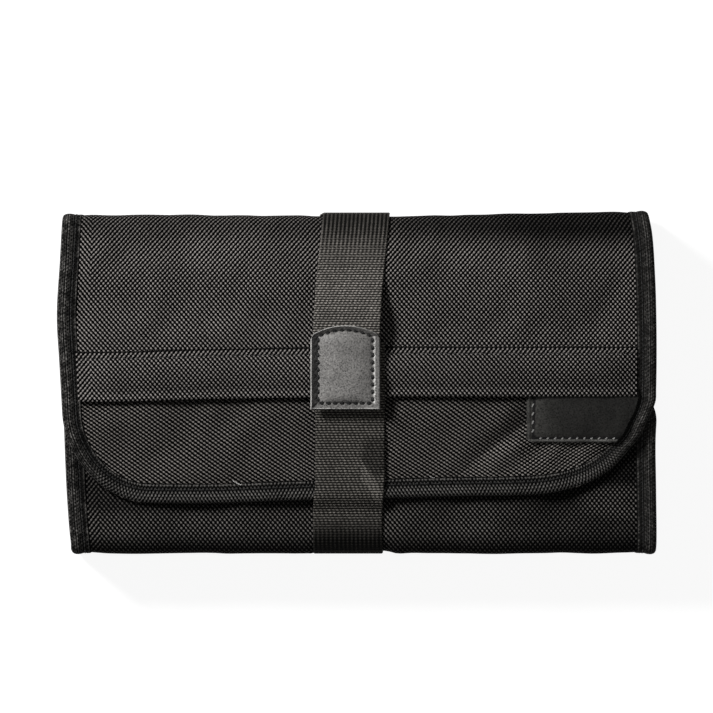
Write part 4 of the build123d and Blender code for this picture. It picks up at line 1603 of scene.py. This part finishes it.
def pouch_sides(soft, ring, a, b, waves):
    """The walls, drawn in halfway up."""
    rel = ring - np.array([(a.x + b.x) / 2, (a.y + b.y) / 2])
    outward = rel / np.hypot(*rel.T)[:, None]
    rings, uv = [], []
    for t in np.linspace(0, 1, 15):
        z = np.full(len(ring), a.z + (b.z - a.z) * t)
        slack = math.sin(math.pi * t)
        drawn = 1.6 * MM * slack - 0.8 * MM + 1.0 * MM * slack * waves.at(ring[:, 0] + ring[:, 1], z * 2.0)
        rings.append(np.column_stack([ring - outward * drawn[:, None], z]))
        uv.append(np.column_stack([travelled(ring), z]))
    soft.tube(np.array(rings), np.array(uv), 0, cap=False)


def pouch_half(rows, a, b):
    """Half width of a pouch's faces, row by row."""
    past = np.maximum(np.maximum(rows - (b.y - pouch_r), (a.y + pouch_r) - rows), 0)
    return b.x - pouch_r + np.sqrt(np.maximum(pouch_r ** 2 - past ** 2, 0)) - 0.3 * MM


def pouch_faces(soft, a, b, zip_node, zip_up, waves):
    """Both large faces of a pouch as thin crowned sheets, one of them open for the zip."""
    slot_low, slot_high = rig.box(zip_node)
    whole = [(None, None, a.y, b.y)]
    round_zip = [(None, None, a.y, slot_low.y + 1 * MM), (None, None, slot_high.y - 1 * MM, b.y),
                 (None, slot_low.x + 1 * MM, slot_low.y, slot_high.y),
                 (slot_high.x - 1 * MM, None, slot_low.y, slot_high.y)]
    upper, lower = (round_zip, whole) if zip_up else (whole, round_zip)
    for level, sign, parts in ((b.z, 1, upper), (a.z, -1, lower)):
        for x_from, x_to, y_from, y_to in parts:
            rows = steps(y_from, y_to, 3 * MM)[:, None]
            half = pouch_half(rows, a, b)
            left = -half if x_from is None else x_from
            right = half if x_to is None else x_to
            x = left + (right - left) * np.linspace(0, 1, 61)[None, :]
            edge = box_inset(x, rows, a, b)
            near = level - sign * (0.25 * MM + 0.9 * MM * (1 - smooth(edge, 0, 8 * MM)))
            near = near + 0.25 * MM * waves.at(x, rows) * smooth(edge, 2 * MM, 12 * MM)
            ring = sheet_ring(x, rows, near, near - sign * 0.7 * MM)
            soft.tube(ring, ring[..., :2], 0)


def add_piping(soft, ring, z):
    """A piped seam round a pouch's edge."""
    way = np.roll(ring, -1, axis=0) - np.roll(ring, 1, axis=0)
    out = np.column_stack([way[:, 1], -way[:, 0]]) / np.hypot(*way.T)[:, None]
    loop, out = (np.concatenate([points, points[:1]]) for points in (ring, out))
    angle = np.arange(8)[None, :] * math.pi / 4
    reach, rise = piping_r * np.cos(angle), piping_r * np.sin(angle)
    uv = np.stack(np.broadcast_arrays(travelled(loop)[:, None], rise), axis=-1)
    x, y = (loop[:, axis, None] + out[:, axis, None] * reach for axis in (0, 1))
    soft.tube(flat_place(x, y, z + rise), uv, 0, cap=False)


def make_pouch(node, body, zip_up, seed):
    """A soft box: bulging faces and sides, a slot for the zip, and piped edges."""
    a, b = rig.box(node)
    ring = pouch_outline(a, b)
    waves = Waves(seed, 70 * MM, 20 * MM)
    soft = Soft()
    pouch_sides(soft, ring, a, b, waves)
    pouch_faces(soft, a, b, node + "_zip_tape", zip_up, waves)
    for z in (a.z + 0.7 * MM, b.z - 0.7 * MM):
        add_piping(soft, ring, z)
    add_piece(node + "_cloth", soft, [pouch_nylon, black_thread], "pouch_nylon", [node], body)


def make_zip_tapes():
    """Two strips beside each zip's teeth."""
    for name, body in (("outer", "flap"), ("upper_pouch", "back_section"), ("front_pouch", "front_section")):
        node = f"{name}_zip_tape"
        teeth_low, teeth_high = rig.box(f"{name}_zip_teeth")
        a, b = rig.box(node)
        soft = Soft()
        for y_from, y_to in ((a.y, teeth_low.y + 0.3 * MM), (teeth_high.y - 0.3 * MM, b.y)):
            x = steps(a.x, b.x, 4 * MM)[None, :]
            z = (a.z + b.z) / 2 + 0.08 * MM * np.sin(x * 300)
            ring = sheet_ring(x, np.linspace(y_from, y_to, 7)[:, None], z + 0.2 * MM, z - 0.2 * MM)
            soft.tube(ring, ring[..., :2], 0)
        add_piece(node + "_cloth", soft, [zip_cloth], "zip_tape", [node], body)


def add_under_flap(soft, x, y, level, half_t):
    """A thin sheet at a level from the flap's plain one, moved along with the flap's lining."""
    ring = sheet_ring(x, y, level + half_t, level - half_t)
    s = top.s_at(ring[..., 1])
    points = top.place(ring[..., 0], s, ring[..., 2] + top.skin(ring[..., 0], s))
    soft.tube(points, ring[..., :2], 0)


def make_mesh_pocket():
    a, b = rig.box("flap_mesh_pocket")
    level = (a.z + b.z) / 2 - z_flap
    x, y = flat_grid(a.x, b.x, 91, steps(a.y, b.y, 3 * MM))
    soft = Soft()
    add_under_flap(soft, x, y, level + 0.2 * MM * Waves(33, 60 * MM, 20 * MM).at(x, y), 0.1 * MM)
    obj = add_piece("mesh_pocket_net", soft, [net], "mesh", ["flap_mesh_pocket"], "flap")
    soft = Soft()
    for y_from, y_to in ((b.y - 9 * MM, b.y), (a.y, a.y + 5 * MM)):
        x, y = flat_grid(a.x, b.x, 41, steps(y_from, y_to, 1.5 * MM))
        add_under_flap(soft, x, y, level, 0.25 * MM)
    hems = soft.make("mesh_pocket_hems", [tape])
    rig.ride(hems, "flap")
    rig.slot(hems, "mesh")
    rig.sheet(obj, flat=(b.x - a.x, b.y - a.y), held="stretched", rests_on=["flap_panel"], with_pieces=[hems])


def paint_hard_parts():
    for name in ("outer", "upper_pouch", "front_pouch"):
        for part, material in (("teeth", teeth_plastic), ("slider", zip_metal), ("pull", zip_metal)):
            obj = bpy.data.objects[f"{name}_zip_{part}"]
            obj.data.materials.clear()
            obj.data.materials.append(material)


# Stage, light and camera

paper_tone, paper_glow = 0.24, 0.9
world_light = 0.05          # strength of the white surroundings as a light
distance = 4.0              # of the camera
mm_per_pixel = 0.563
image_px = 713
view_x, view_y = -0.6 * MM, 14.6 * MM


def seen_rays(tree):
    """1 for rays that show the background: camera, glossy and transmission."""
    path = tree.nodes.new("ShaderNodeLightPath")
    seen = Value(tree, path.outputs["Is Camera Ray"])
    for kind in ("Is Glossy Ray", "Is Transmission Ray"):
        seen = seen.at_least(Value(tree, path.outputs[kind]))
    return seen


def make_floor():
    sh = Shader("floor_paper")
    tree = sh.tree
    tree.nodes.remove(sh.surface)
    diffuse = sh.node("BsdfDiffuse", 0, Color=(paper_tone, paper_tone, paper_tone, 1))
    glow = sh.node("Emission", 0, Strength=seen_rays(tree) * paper_glow)
    both = tree.nodes.new("ShaderNodeAddShader")
    put(tree, both.inputs[0], diffuse)
    put(tree, both.inputs[1], glow)
    out = next(node for node in tree.nodes if node.type == "OUTPUT_MATERIAL")
    tree.links.new(both.outputs[0], out.inputs["Surface"])
    bpy.ops.mesh.primitive_plane_add(size=8, location=(0, 0, -0.8 * MM))
    floor = bpy.context.object
    floor.name = "floor"
    floor.data.materials.append(sh.material)
    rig.stage(floor)


def make_world():
    """White where it is seen, and nearly dark as a light."""
    world = bpy.data.worlds.new("studio")
    bpy.context.scene.world = world
    world.use_nodes = True
    tree = world.node_tree
    background = tree.nodes["Background"]
    background.inputs["Color"].default_value = (1, 1, 1, 1)
    put(tree, background.inputs["Strength"], seen_rays(tree).fit(0, 1, world_light, 1.0, "LINEAR"))


def make_lamp(name, place, size, power, target=(0, 0, 0.03)):
    lamp = bpy.data.lights.new(name, "AREA")
    lamp.shape = "DISK"
    lamp.size = size
    lamp.energy = power
    obj = bpy.data.objects.new(name, lamp)
    bpy.context.scene.collection.objects.link(obj)
    obj.location = place
    obj.rotation_euler = (Vector(target) - Vector(place)).to_track_quat("-Z", "Y").to_euler()


def make_camera():
    data = bpy.data.cameras.new("camera")
    data.sensor_width = 36.0
    data.lens = data.sensor_width * distance / (mm_per_pixel * image_px * MM)
    camera = bpy.data.objects.new("camera", data)
    bpy.context.scene.collection.objects.link(camera)
    camera.location = (view_x, view_y, z_flap + distance)
    data.clip_end = 20
    bpy.context.scene.camera = camera


make_panels()
make_bindings()
make_straps()
make_placket()
make_tab()
make_label()
make_closure()
make_pouch("upper_pouch", "back_section", True, 41)
make_pouch("front_pouch", "front_section", False, 43)
make_zip_tapes()
make_mesh_pocket()
paint_hard_parts()
make_floor()
make_world()
make_lamp("key", place=(-1.0, 0.8, 1.03), size=0.42, power=38)
make_lamp("fill", place=(0.4, -0.3, 1.7), size=1.2, power=4)
make_camera()
bpy.context.scene.view_settings.view_transform = "Standard"

with open("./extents.json", "w") as file:
    json.dump({"cad": cad_box, "visual": [list(corner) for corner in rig.bounds()]}, file)
